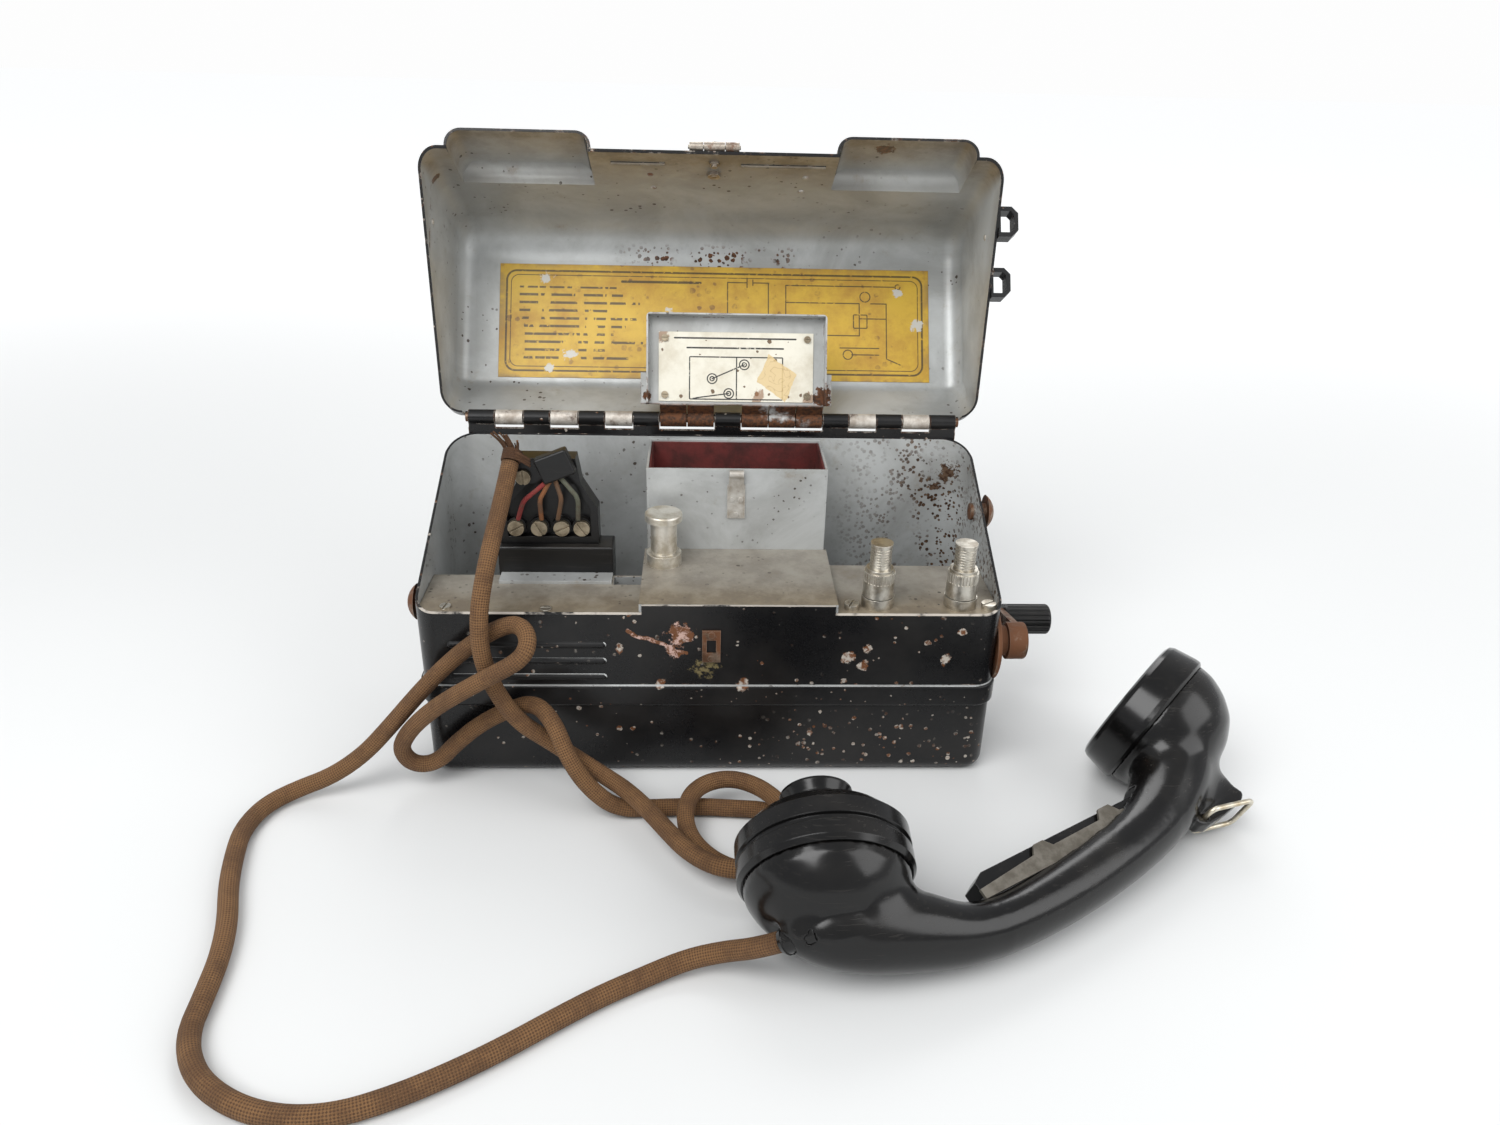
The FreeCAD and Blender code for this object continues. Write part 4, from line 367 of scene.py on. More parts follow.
def black_layers(f, chips, specks=0.10):
    """Colour, roughness and wear mask of worn black paint."""
    cloud = f.noise(22.0, 6.0, 0.65)
    fine = f.noise(420.0, 5.0, 0.7)
    speck = f.dots(450.0, 0.30, specks).larger(f.dots(170.0, 0.20, specks * 0.6))
    speck = speck * f.step(cloud, 0.42, 0.55)
    edges = f.edge(0.9) * f.step(f.noise(130.0, 5.0, 0.7), chips, chips + 0.05)
    worn = f.clip(speck + edges)
    paint = f.mix(f.step(cloud, 0.38, 0.72), BLACK, DULL_BLACK)
    metal = f.mix(f.step(fine, 0.44, 0.56), RUST, BARE)
    dust = f.step(f.facing("Z"), 0.25, 0.8)
    gloss = 0.14 + cloud * 0.20 + fine * 0.10 + worn * 0.30 + dust * 0.35
    return f.mix(worn, paint, metal), gloss, worn, cloud * 0.3 + fine * 0.2 - worn * 0.6


def black_paint(name, chips):
    """Worn black paint on a whole piece. A lower chips bares more of its edges."""
    f = Finish(name)
    colour, gloss, worn, height = black_layers(f, chips)
    f.bump(height, 0.25, 0.0006)
    return f.set(base_color=colour, roughness=gloss, metallic=worn * 0.4, specular_ior_level=PAINT_SHINE)


# %% [markdown]
# ## Aluminium paint
# Inside, everything is sprayed with aluminium paint: cool and bright where it is sound, brown on the
# shelves and round the rim where hands and damp reach it, and pitted in black specks on the walls.

# %% Silver paint
SILVER = (0.50, 0.515, 0.51)
SILVER_SHADE = (0.35, 0.355, 0.345)
TAN = (0.26, 0.215, 0.15)
BROWN_SILVER = (0.20, 0.165, 0.12)
PIT = (0.07, 0.055, 0.045)
SILVER_METALLIC = 0.35


def silver_colour(f, stain=0.0, pits=0.25):
    """Aluminium paint. stain is 1 where it has gone brown, pits sets how many black specks it has."""
    cloud = f.noise(19.0, 7.0, 0.66, distortion=0.5)
    grime = f.noise(70.0, 6.0, 0.7)
    base = f.mix(f.step(cloud, 0.34, 0.66), SILVER, SILVER_SHADE)
    base = f.mix(f.step(grime, 0.58, 0.80) * 0.6, base, TAN)
    brown = f.mix(f.step(grime, 0.4, 0.6), TAN, BROWN_SILVER)
    base = f.mix(f.clip(stain * (0.55 + grime * 0.8)), base, brown)
    return f.mix(f.dots(420.0, 0.30, pits) * f.step(cloud, 0.44, 0.60), base, PIT)


def silver_paint(name, stain=None):
    """Aluminium paint on a whole piece, rusted at its edges. stain gives the mask of its brown parts."""
    f = Finish(name)
    rusty = f.edge(1.0) * f.step(f.noise(95.0, 5.0, 0.7), 0.58, 0.64)
    stained = stain(f) if stain else 0.0
    colour = f.mix(rusty, silver_colour(f, stained), DARK_RUST)
    f.bump(f.noise(300.0, 5.0, 0.7) * 0.4 + f.noise(40.0, 4.0) * 0.3, 0.25, 0.0005)
    return f.set(base_color=colour, metallic=SILVER_METALLIC, roughness=0.36 + f.noise(120.0, 4.0) * 0.22)


def shelf_stain(f):
    """Brown on the upper faces, most of all towards the front edge."""
    y = f.millimetres()[1]
    return f.step(f.facing("Z"), 0.6, 0.9) * (0.75 + 0.35 * (1.0 - f.step(y, -48.0, -20.0)))


def in_and_out(inner, inside, outside):
    """A value that differs between the silver inside and the black outside."""
    return outside * (1.0 - inner) + inner * inside


CASE_MIDDLE = (0.0, 0.0, 90.0)
CASE_FRONT_Y = -47.9
CASE_RIM_Z = 81.0
UNDERCOAT = (0.15, 0.12, 0.055)
WALL_BROWN = (0.13, 0.08, 0.05)
FRONT_FLAKES = (((60.0, 62.0), 3.0), ((68.5, 66.5), 2.4), ((67.0, 58.0), 2.4), ((103.0, 61.0), 2.6),
                ((-40.0, 66.0), 2.2), ((-22.0, 48.5), 2.0), ((14.0, 48.0), 3.2), ((109.0, 75.0), 1.8),
                ((45.0, 22.0), 1.6))
FRONT_LOSSES = (((-14.0, 73.0), 5.5), ((-16.5, 65.5), 3.6))
SCRATCH = ((-36.0, 74.5), (-11.0, 64.0))
WALL_RUST = (((118.0, 112.0), 4.5), ((112.0, 104.0), 2.4))


def case_paint(name):
    """Black outside, aluminium paint inside, with the losses of the front wall."""
    f = Finish(name)
    x, y, z = f.millimetres()
    colour, gloss, worn, height = black_layers(f, 0.60, 0.16)
    fine = f.noise(520.0, 4.0)
    front = (y < CASE_FRONT_Y) * f.step(z, 2.0, 6.0)
    low_right = f.step(x, 5.0, 70.0) * (1.0 - f.step(z, 20.0, 40.0)) * f.step(f.noise(34.0, 4.0), 0.44, 0.58)
    flakes = f.blots(x, z, FRONT_FLAKES).larger(f.dots(430.0, 0.34, 0.36) * low_right)
    shaken = z + (f.noise(120.0, 4.0) - 0.5) * 6.0
    loss = f.blots(x, z, FRONT_LOSSES, 1.3).larger(f.stroke(x, shaken, *SCRATCH, 1.9))
    graze = f.blot(x, z, (-3.0, 57.0), 4.6, 1.6) * f.step(fine, 0.40, 0.60)
    colour = f.mix(front * flakes, colour, f.mix(f.step(fine, 0.42, 0.6), RUST, BARE))
    colour = f.mix(front * loss, colour, f.mix(f.step(fine, 0.46, 0.6), RUST, FLESH))
    colour = f.mix(front * graze, colour, UNDERCOAT)
    rim = f.step(f.facing("Z"), 0.7, 0.9) * (y < -46.0) * f.step(z, CASE_RIM_Z, CASE_RIM_Z + 1.0)
    colour = f.mix(rim * f.step(f.noise(90.0, 4.0), 0.36, 0.5), colour, BARE)
    inner = f.inside(CASE_MIDDLE) * (1.0 - rim)
    pitted = f.dots(560.0, 0.46, 0.75) * f.step(x, 50.0, 110.0) * f.step(f.noise(45.0, 4.0), 0.40, 0.56)
    rusty = f.clip(pitted + f.blots(x, z, WALL_RUST, 1.5) * inner)
    silver = f.mix(rusty, silver_colour(f, 0.0, 0.34), f.mix(f.step(fine, 0.4, 0.6), DARK_RUST, WALL_BROWN))
    f.bump(in_and_out(inner, f.noise(300.0, 4.0) * 0.6 - pitted * 0.4, height), 0.28, 0.0006)
    return f.set(base_color=f.mix(inner, colour, silver), roughness=in_and_out(inner, 0.42, gloss),
                 metallic=f.clip(in_and_out(inner, SILVER_METALLIC, worn * 0.4)),
                 specular_ior_level=PAINT_SHINE)


LID_FRONT_Y = -53.0
RIM_FRONT_Z = 70.0
RIM_SLOPE = 0.589
POCKET_MIDDLE = 85.5
POCKET_HALF = 30.6
LEDGE_Y = -53.8
LEDGE_Z = 104.8
LID_MIDDLE = (0.0, 58.0, 200.0)


def lid_paint(name):
    """Black outside and on the rim. Inside, aluminium paint that is brown on the front wall."""
    f = Finish(name)
    x, y, z = f.shut(LID_OPEN)
    colour, gloss, worn, height = black_layers(f, 0.55, 0.08)
    fine = f.noise(520.0, 4.0)
    ledge = (abs(abs(x) - POCKET_MIDDLE) < POCKET_HALF) * (abs(y - LEDGE_Y) < 2.8) * (abs(z - LEDGE_Z) < 0.45)
    inner = f.inside(LID_MIDDLE).larger(ledge)
    above_rim = z - (RIM_FRONT_Z + (y - LID_FRONT_Y) * RIM_SLOPE)
    near_rim = 1.0 - f.step(above_rim, 0.0, 14.0)
    front = 1.0 - f.step(y, -50.0, -44.0)
    stain = f.clip(front * (0.20 + 0.70 * (1.0 - f.step(above_rim, 4.0, 40.0))) + near_rim * 0.35)
    by_plate = f.step(y, -45.0, -40.0) * (1.0 - f.step(y, -33.5, -32.0))
    by_plate = by_plate * (1.0 - f.step(abs(x - 2.0), 26.0, 60.0))
    speckled = f.dots(420.0, 0.50, 0.75) * f.step(f.noise(50.0, 4.0), 0.40, 0.52) * by_plate
    blooms = (f.blot(x, z, (76.0, 79.0), 5.0, 0.8) * front).larger(f.blot(x, z, (-126.0, 94.0), 2.0, 0.8))
    rust = f.mix(f.step(fine, 0.4, 0.6), DARK_RUST, RUST)
    silver = f.mix(f.clip(speckled + blooms * 0.85), silver_colour(f, stain, 0.14), rust)
    edge_line = f.edge(0.8) * f.step(near_rim, 0.75, 0.9) * f.step(f.noise(110.0, 4.0), 0.34, 0.44)
    silver = f.mix(edge_line, silver, BLACK)
    dents = f.noise(260.0, 4.0) * 0.3 + f.noise(30.0, 4.0) * 0.7
    f.bump(in_and_out(inner, dents, height), 0.28, 0.0007)
    return f.set(base_color=f.mix(inner, colour, silver),
                 roughness=in_and_out(inner, 0.34 + f.noise(60.0, 4.0) * 0.2, gloss),
                 metallic=f.clip(in_and_out(inner, SILVER_METALLIC, worn * 0.4)),
                 specular_ior_level=PAINT_SHINE)


def cover_paint(name):
    """The battery cover: aluminium paint, rusted through by the hinge and at one lower corner."""
    f = Finish(name)
    x, y, _ = f.shut(COVER_OPEN)
    fine = f.noise(520.0, 4.0)
    by_hinge = f.step(y, 43.5, 46.0) * f.step(f.noise(60.0, 5.0), 0.30, 0.42)
    edges = f.edge(0.9) * f.step(f.noise(95.0, 5.0, 0.7), 0.52, 0.58)
    corners = f.blots(x, y, (((53.0, 41.0), 5.0), ((-31.0, 41.0), 2.4)), 1.0)
    rust = f.clip(by_hinge + corners.larger(edges))
    colour = f.mix(rust, silver_colour(f, 0.1, 0.10), f.mix(f.step(fine, 0.38, 0.6), DARK_RUST, RUST))
    f.bump(f.noise(300.0, 5.0, 0.7) * 0.4 + rust * fine, 0.25, 0.0005)
    return f.set(base_color=colour, metallic=0.3, roughness=0.36 + rust * 0.4)


def old_metal(name, bright, dark, rust, metallic=0.85, rough=0.34, rust_colour=RUST):
    """Plated or bare metal, brighter on its rubbed edges, with rust in patches."""
    f = Finish(name)
    cloud = f.noise(140.0, 5.0, 0.65)
    patch = f.step(f.noise(75.0, 6.0, 0.7), rust, rust + 0.12)
    rubbed = f.edge(0.6)
    colour = f.mix(f.clip(f.step(cloud, 0.35, 0.65) - rubbed), bright, dark)
    colour = f.mix(patch * (1.0 - rubbed * 0.6), colour, rust_colour)
    f.bump(cloud * 0.4 + patch * 0.5 * f.noise(900.0, 3.0), 0.35, 0.0005, 0.2)
    return f.set(base_color=colour, metallic=f.clip(metallic - patch * 0.6),
                 roughness=rough + cloud * 0.2 + patch * 0.3)


dress(case_paint("case_paint"), "case_shell")
dress(lid_paint("lid_paint"), "lid_shell")
dress(cover_paint("cover_paint"), "battery_cover")
dress(black_paint("hinge_black", 0.40), "case_hinge_leaf")
dress(black_paint("loop_black", 0.58), "lid_strap_loops")
dress(silver_paint("box_silver"), "battery_box", "socket_strip")
dress(silver_paint("shelf_silver", shelf_stain), "chassis")

# %% [markdown]
# ## Bare and plated metal
# Screws, posts, hinge knuckles, wire and the works are steel, nickel plate or brass. One recipe
# serves them all: two tones, rubbed edges and patches of rust, with the colours of each metal.

# %% Metals
VERDIGRIS = (0.10, 0.10, 0.05)
DULL_GREEN = (0.07, 0.07, 0.045)
dress(old_metal("worn_knuckles", (0.62, 0.58, 0.52), (0.36, 0.31, 0.26), 0.52, 0.4, 0.45, DARK_RUST),
      "lid_hinge_leaf")
dress(old_metal("rusty_steel", (0.26, 0.19, 0.14), (0.12, 0.065, 0.038), 0.40),
      "strap_studs", "strap_hook", "catch_staple", "crank_plate", "crank_arm", "crank_shaft", "hinge_pin")
dress(old_metal("dull_steel", (0.44, 0.40, 0.34), (0.25, 0.20, 0.16), 0.56),
      "catch_bracket", "catch_rivets", "catch_tongue", "armature", "bell_frame", "capacitor")
dress(old_metal("catch_silver", (0.52, 0.50, 0.46), (0.33, 0.29, 0.24), 0.60, 0.5, 0.4), "cover_catch")
dress(old_metal("key_plate", (0.74, 0.71, 0.64), (0.50, 0.45, 0.36), 0.70, 0.8, 0.30, TAN),
      "key_plunger", "key_bush")
dress(old_metal("talk_plate_metal", (0.17, 0.155, 0.13), (0.10, 0.088, 0.07), 0.62, 0.5, 0.5, DARK_RUST),
      "talk_plate")
dress(old_metal("nickel", (0.66, 0.63, 0.56), (0.36, 0.32, 0.26), 0.66, 0.95, 0.24),
      "chassis_screws", "terminal_posts", "terminal_nut_left", "terminal_nut_right", "handset_inserts")
dress(old_metal("bail_wire", (0.70, 0.66, 0.56), (0.45, 0.38, 0.26), 0.70, 0.9, 0.28), "handset_ring")
dress(old_metal("screw_brass", (0.38, 0.32, 0.23), (0.17, 0.135, 0.09), 0.62, 0.85, 0.38, DULL_GREEN),
      "plug_screws", "cover_plate_screws")
dress(old_metal("old_brass", (0.52, 0.40, 0.20), (0.26, 0.18, 0.09), 0.7, 0.9, 0.32, VERDIGRIS),
      "key_contacts", "plug_pins", "drive_gear", "generator_frame", "bell_gongs", "bell_hammer")
dress(old_metal("magnet_steel", (0.15, 0.12, 0.11), (0.08, 0.06, 0.055), 0.6, 0.6, 0.5), "magnets")

# %% [markdown]
# ## Bakelite
# The handset, plug, socket and crank knob are black bakelite. Polished by hands, it is a smooth dark
# plastic with fine scratches and grey dust on its upper faces. A stretched noise gives the scratches,
# which is cheaper than drawing each one and never repeats.

# %% Bakelite
BAKELITE = (0.0035, 0.0033, 0.0033)
BLOOM = (0.055, 0.048, 0.040)
BAKELITE_SHINE = 0.38


def bakelite(name, rough=0.13, dust=0.25):
    """Moulded black plastic. dust is how grey its upper faces are."""
    f = Finish(name)
    cloud = f.noise(30.0, 5.0, 0.6)
    fine = f.noise(700.0, 4.0, 0.7)
    scratch = f.step(f.noise(60.0, 2.0, 0.5, (1, 9, 30)), 0.62, 0.68)
    dusty = f.step(f.facing("Z"), 0.2, 0.95) * f.step(cloud, 0.42, 0.7) * dust
    colour = f.mix(f.clip(dusty * 0.5 + scratch * 0.12), BAKELITE, BLOOM)
    f.bump(cloud * 0.6 + fine * 0.08, 0.12, 0.0008, 0.5)
    return f.set(base_color=colour, roughness=rough + cloud * 0.10 + dusty * 0.22 + scratch * 0.08,
                 specular_ior_level=BAKELITE_SHINE)


handset_finish = bakelite("handset_bakelite")
dress(handset_finish, "handset_body", "mouthpiece_cap", "receiver_cap", "talk_bar", "cord_grommet")
dress(bakelite("plug_bakelite", 0.26, 0.9), "plug_body", "plug_clamp", "plug_socket")
dress(bakelite("knob_bakelite", 0.3, 0.7), "crank_knob")

# %% [markdown]
# ## Small finishes
# The red liner, the cells' paper and the copper windings are seen through openings or not at all,
# so each gets a simple but uneven finish of two tones.

# %% Small finishes
def plain_finish(name, light, dark, rough, scale=60.0):
    """Two tones in soft patches over a fine grain."""
    f = Finish(name)
    cloud = f.noise(scale, 6.0, 0.7)
    f.bump(f.noise(scale * 7, 4.0), 0.3, 0.0006, 0.3)
    return f.set(base_color=f.mix(f.step(cloud, 0.35, 0.68), light, dark), roughness=rough + cloud * 0.2)


dress(plain_finish("liner_red", (0.13, 0.022, 0.020), (0.05, 0.012, 0.010), 0.5), "battery_liner")
dress(plain_finish("cell_paper", (0.10, 0.075, 0.05), (0.05, 0.035, 0.025), 0.7), "battery_cells")
dress(plain_finish("copper_winding", (0.24, 0.085, 0.04), (0.10, 0.04, 0.02), 0.45, 200.0),
      "armature_winding", "bell_coils", "induction_coil")

# %% [markdown]
# ## The two printed plates
# The lid carries a yellow enamelled plate with a double border, ruled lines and a wiring sketch. The
# battery cover has a white one with a sketch of two cells. Both are drawn with distances to lines
# and circles in the plate's own flat coordinates, found by swinging the place shut, and are left
# without words. White flakes and brown specks are wear.

# %% Printed plates
YELLOW = (0.64, 0.41, 0.040)
DEEP_YELLOW = (0.44, 0.235, 0.030)
BARED_EDGE = (0.30, 0.19, 0.06)
BROWN_SPECK = (0.20, 0.10, 0.03)
YELLOW_INK = (0.035, 0.028, 0.018)
CHIPPED_WHITE = (0.56, 0.54, 0.49)
IVORY = (0.70, 0.67, 0.57)
OLD_IVORY = (0.55, 0.50, 0.39)
DARK_SPECK = (0.14, 0.09, 0.05)
RUST_STAIN = (0.24, 0.11, 0.045)
WHITE_INK = (0.03, 0.028, 0.025)
TAPE = (0.62, 0.46, 0.22)
# The darker tape colour is painted shade in the tape's creases.
TAPE_CREASE_SHADE = (0.46, 0.31, 0.13)
LINE_PITCH = 4.1
LINE_WIDTH = 1.3
LABEL_BORDERS = (((-104.5, -22.5), (108.5, 29.5), 5.0, 1.0), ((-102.3, -20.3), (106.3, 27.3), 4.0, 0.45),
                 ((48.0, 1.0), (54.0, 5.0), 0.5, 0.6), ((73.0, 2.0), (80.0, 9.0), 0.5, 0.6))
LABEL_WIRES = (((8.0, 25.0), (8.0, 6.0)), ((8.0, 25.0), (18.0, 25.0)), ((21.0, 25.0), (29.0, 25.0)),
               ((29.0, 25.0), (29.0, 6.0)), ((38.0, 24.0), (94.0, 24.0)), ((38.0, 24.0), (38.0, 6.0)),
               ((38.0, 15.0), (76.0, 15.0)), ((76.0, 15.0), (76.0, 7.0)), ((76.0, 7.0), (90.0, 7.0)),
               ((90.0, 15.0), (90.0, -14.0)), ((82.0, 15.0), (90.0, 15.0)), ((58.0, -2.0), (76.0, -2.0)),
               ((76.0, -2.0), (76.0, 7.0)), ((72.0, -12.0), (86.0, -12.0)), ((66.0, -8.5), (86.0, -8.5)),
               ((90.0, -14.0), (97.0, -17.0)), ((18.0, 22.5), (18.0, 27.5)), ((21.0, 23.5), (21.0, 26.5)))
LABEL_RINGS = (((79.0, 18.5), 2.6), ((70.0, -12.0), 2.4), ((96.0, 24.0), 1.3))
LABEL_FLAKES = (((-84.0, 26.0), 3.0), ((-22.0, 6.0), 4.0), ((96.0, 21.0), 2.4), ((106.0, 4.0), 3.4),
                ((-72.0, -14.0), 3.2), ((-82.0, -21.0), 2.4))
CELL_CENTRES = ((0.0, -32.6), (15.4, -25.8), (8.0, -39.6))
CELL_LINES = (((11.7, -22.3), (11.7, -42.4)), ((0.0, -32.6), (15.4, -25.8)), ((-9.0, -42.0), (8.0, -39.6)))
HEADINGS = (((-18.0, -13.4), (40.0, -13.4)), ((-12.0, -18.0), (34.0, -18.0)))


def yellow_plate(name):
    """The lid's enamelled plate. x runs to its right and up towards its top, in millimetres."""
    f = Finish(name)
    x, y, _ = f.shut(LID_OPEN)
    up = 0.0 - y
    fine = f.noise(500.0, 4.0)
    cloud = f.noise(36.0, 6.0, 0.7)
    row = up.of("WRAP", 0.0, LINE_PITCH)
    right_end = ((up / LINE_PITCH).of("FLOOR") * 2.4).of("SINE") * 9.0 - 44.0
    broken = f.noise(230.0, 2.0, 0.5, (1.0, 0.2, 0.2)) > 0.44
    ruled = (row < LINE_WIDTH) * (x > -98.0) * (x < right_end) * (up > -18.0) * (up < 21.5) * broken
    drawn = f.any_of([f.borders(x, up, LABEL_BORDERS), f.strokes(x, up, LABEL_WIRES),
                      f.rings(x, up, LABEL_RINGS), f.stroke(x, up, (-46.0, 24.5), (-6.0, 24.5), LINE_WIDTH)])
    ink = f.clip(drawn + ruled) * f.step(fine, 0.30, 0.42)
    flakes = f.blots(x, up, LABEL_FLAKES, 1.2)
    margin = f.clip(f.step(abs(x - 2.0), 104.0, 110.5) + f.step(abs(up - 3.5), 26.5, 30.0))
    rub = margin * f.step(f.noise(70.0, 6.0), 0.42, 0.60)
    specks = f.dots(260.0, 0.34, 0.45) * f.step(cloud, 0.44, 0.60)
    base = f.mix(f.step(cloud, 0.34, 0.70), YELLOW, DEEP_YELLOW)
    base = f.mix(rub * 0.8, base, BARED_EDGE)
    base = f.mix(specks * 0.8, base, BROWN_SPECK)
    base = f.mix(ink * 0.86, base, YELLOW_INK)
    base = f.mix(flakes, base, CHIPPED_WHITE)
    f.bump(cloud * 0.5 + fine * 0.2 - flakes * 0.4, 0.2, 0.0005)
    return f.set(base_color=base, roughness=0.32 + cloud * 0.25)


def white_plate(name):
    """The battery cover's plate, with two cells drawn in a box and an old piece of tape with painted shade in
    its creases.
    """
    f = Finish(name)
    x, y, _ = f.shut(COVER_OPEN)
    up = 0.0 - y
    fine = f.noise(500.0, 4.0)
    cloud = f.noise(60.0, 6.0, 0.7)
    cells = [f.rings(x, up, [(centre, radius) for centre in CELL_CENTRES]) for radius in (2.3, 1.0)]
    drawn = f.any_of([f.border(x, up, (-10.8, -42.4), (33.8, -22.3), 0.4, 0.6), f.strokes(x, up, CELL_LINES),
                      f.strokes(x, up, HEADINGS, 0.8), *cells])
    over, above = x - 31.0, up + 32.0
    torn = (f.noise(90.0, 3.0) - 0.5) * 6.0
    tape = (abs(over + above * 0.35) + abs(above - over * 0.2) * 0.85 + torn) < 10.0
    # Thin wandering lines over the tape, darkened as painted shade in its creases.
    crease_shade_lines = f.step(abs(f.noise(150.0, 1.0, 0.3, distortion=2.0) - 0.5), 0.03, 0.0)
    rusty = f.blots(x, up, (((46.5, -42.0), 3.2), ((-24.0, -12.0), 3.2), ((22.0, -41.0), 3.2)), 1.2)
    base = f.mix(f.step(cloud, 0.40, 0.75), IVORY, OLD_IVORY)
    base = f.mix(f.dots(330.0, 0.3, 0.12), base, DARK_SPECK)
    base = f.mix(rusty * 0.75, base, RUST_STAIN)
    base = f.mix(drawn * f.step(fine, 0.30, 0.40), base, WHITE_INK)
    base = f.mix(tape * 0.85, base, f.mix(crease_shade_lines, TAPE, TAPE_CREASE_SHADE))
    f.bump(cloud * 0.4 + tape * 0.5, 0.2, 0.0005)
    return f.set(base_color=base, roughness=0.34 + cloud * 0.2)


dress(yellow_plate("plate_yellow"), "label_plate")
dress(white_plate("plate_white"), "cover_plate")

# %% [markdown]
# ## The cord
# The cord is woven cotton over rubber. Its line is one smooth spline through the route's points,
# and its surface is a tube whose own map runs along and round it, so that the weave turns with it.

# %% Cord route
CORD_RADIUS = 3.75
CORD_END = (24.5, -176.0, 23.2)
GROMMET_DIRECTION = Vector((-0.82, 0.22, -0.53)).normalized()
CORD_ROUTE = ((-87.5, -12.5, 137.5), (-90, -24.5, 125), (-91.5, -40, 116.5), (-93.5, -54.5, 105.5),
              (-96, -62.8, 90), (-96, -65, 72), (-91.5, -65, 55), (-82.5, -65.6, 39.5),
              (-70, -65, 29.5), (-57.5, -66, 20), (-46, -70, 14.2), (-36, -78.5, 13), (-27, -90.5, 13),
              (-18.5, -104, 13), (-9.5, -117.5, 13), (3, -127.5, 13), (18.5, -128.5, 13),
              (30, -118.5, 13), (33.5, -103.5, 13), (30.5, -88.5, 13), (21.5, -76, 13),
              (8.5, -69.5, 13), (-4.5, -74.5, 13), (-11, -87, 12.5), (-10, -101, 7.5), (1, -113.5, 4),
              (14.5, -120, 4), (29, -116.5, 4), (38, -104.5, 4), (36.5, -90, 4), (25.5, -80.8, 4),
              (9.5, -79.5, 4), (-7, -78, 4), (-24, -79, 4), (-40.5, -80.5, 4.6), (-53, -78.2, 15),
              (-61, -75.6, 28.5), (-67, -68, 41), (-76, -58.8, 45.2), (-88, -56, 39.5),
              (-101, -55, 31.5), (-112, -55.6, 22), (-121.5, -57, 11.8), (-131.5, -58.5, 12),
              (-136, -60.5, 21.5), (-131, -62.5, 32), (-120, -65.5, 44.5), (-107, -70.2, 56),
              (-92.5, -73.4, 66.5), (-78.5, -71.9, 73.9), (-75.4, -66.8, 79), (-77.9, -60.4, 82.8),
              (-84.6, -56.3, 82.8), (-98, -55.2, 75), (-112.5, -55.2, 62.5), (-126, -56.3, 48),
              (-138.5, -58.5, 33.5), (-151, -61.5, 20), (-165.5, -64.5, 10.3), (-180.5, -66.5, 5),
              (-191.5, -76.5, 4), (-195, -92.5, 4), (-192, -109.5, 4), (-187.5, -127, 4),
              (-181, -144.5, 4), (-177, -162, 4), (-175.5, -180, 4), (-174.5, -197, 4),
              (-166, -212, 4), (-151.5, -222.5, 4), (-134.5, -228, 4), (-117, -227.5, 4),
              (-100, -221, 4), (-84, -212.5, 4), (-69, -203, 4), (-54.5, -192.5, 4), (-40, -182.5, 4),
              (-25, -174, 4), (-9.5, -167.5, 6), (4.5, -168, 10.5))
CORD_EXIT = CORD_ROUTE[0]
cord_points = [Vector(p) for p in CORD_ROUTE]
cord_points += [Vector(CORD_END) + GROMMET_DIRECTION * 11.0, Vector(CORD_END)]


def line_of(points):
    """Points in metres along one smooth open spline, given its control points in millimetres."""
    curve = bpy.data.curves.new("line", "CURVE")
    curve.dimensions = "3D"
    curve.resolution_u = 10
    spline = curve.splines.new("NURBS")
    spline.points.add(len(points) - 1)
    for slot, point in zip(spline.points, points):
        slot.co = (*(point * MM), 1.0)
    spline.order_u = 3
    spline.use_endpoint_u = True
    thin = bpy.data.objects.new("line", curve)
    bpy.context.collection.objects.link(thin)
    bpy.context.view_layer.update()
    mesh = bpy.data.meshes.new_from_object(thin.evaluated_get(bpy.context.evaluated_depsgraph_get()))
    line = [v.co.copy() for v in mesh.vertices]
    bpy.data.objects.remove(thin)
    return line


def sweep(name, line, radius, around, map_turn):
    """A closed tube along a line of points in metres, with a map: x round it, y along it in turns."""
    shape = bmesh.new()
    frame_x = (line[1] - line[0]).orthogonal().normalized()
    rings = []
    for i, here in enumerate(line):
        along = (line[min(i + 1, len(line) - 1)] - line[max(i - 1, 0)]).normalized()
        frame_x = (frame_x - along * frame_x.dot(along)).normalized()
        frame_y = along.cross(frame_x)
        place = Matrix((frame_x, frame_y, along)).transposed().to_4x4()
        place.translation = here
        made = bmesh.ops.create_circle(shape, cap_ends=False, segments=around, radius=radius, matrix=place)
        rings.append(made["verts"])
    uv = shape.loops.layers.uv.new("weave")
    travelled = 0.0
    for i in range(len(rings) - 1):
        step = (line[i + 1] - line[i]).length
        for k in range(around):
            a, b = rings[i][k], rings[i][(k + 1) % around]
            c, d = rings[i + 1][(k + 1) % around], rings[i + 1][k]
            face = shape.faces.new((a, b, c, d))
            face.smooth = True
            for loop, (u, v) in zip(face.loops, ((k, 0), (k + 1, 0), (k + 1, step), (k, step))):
                loop[uv].uv = (u / around, (travelled + v) / map_turn)
        travelled += step
    shape.faces.new(list(reversed(rings[0])))
    shape.faces.new(rings[-1])
    return piece_of(name, shape)


cord_line = line_of(cord_points)
woven_cord = sweep("woven_cord", cord_line, CORD_RADIUS * MM, 20, 2 * math.pi * CORD_RADIUS * MM)
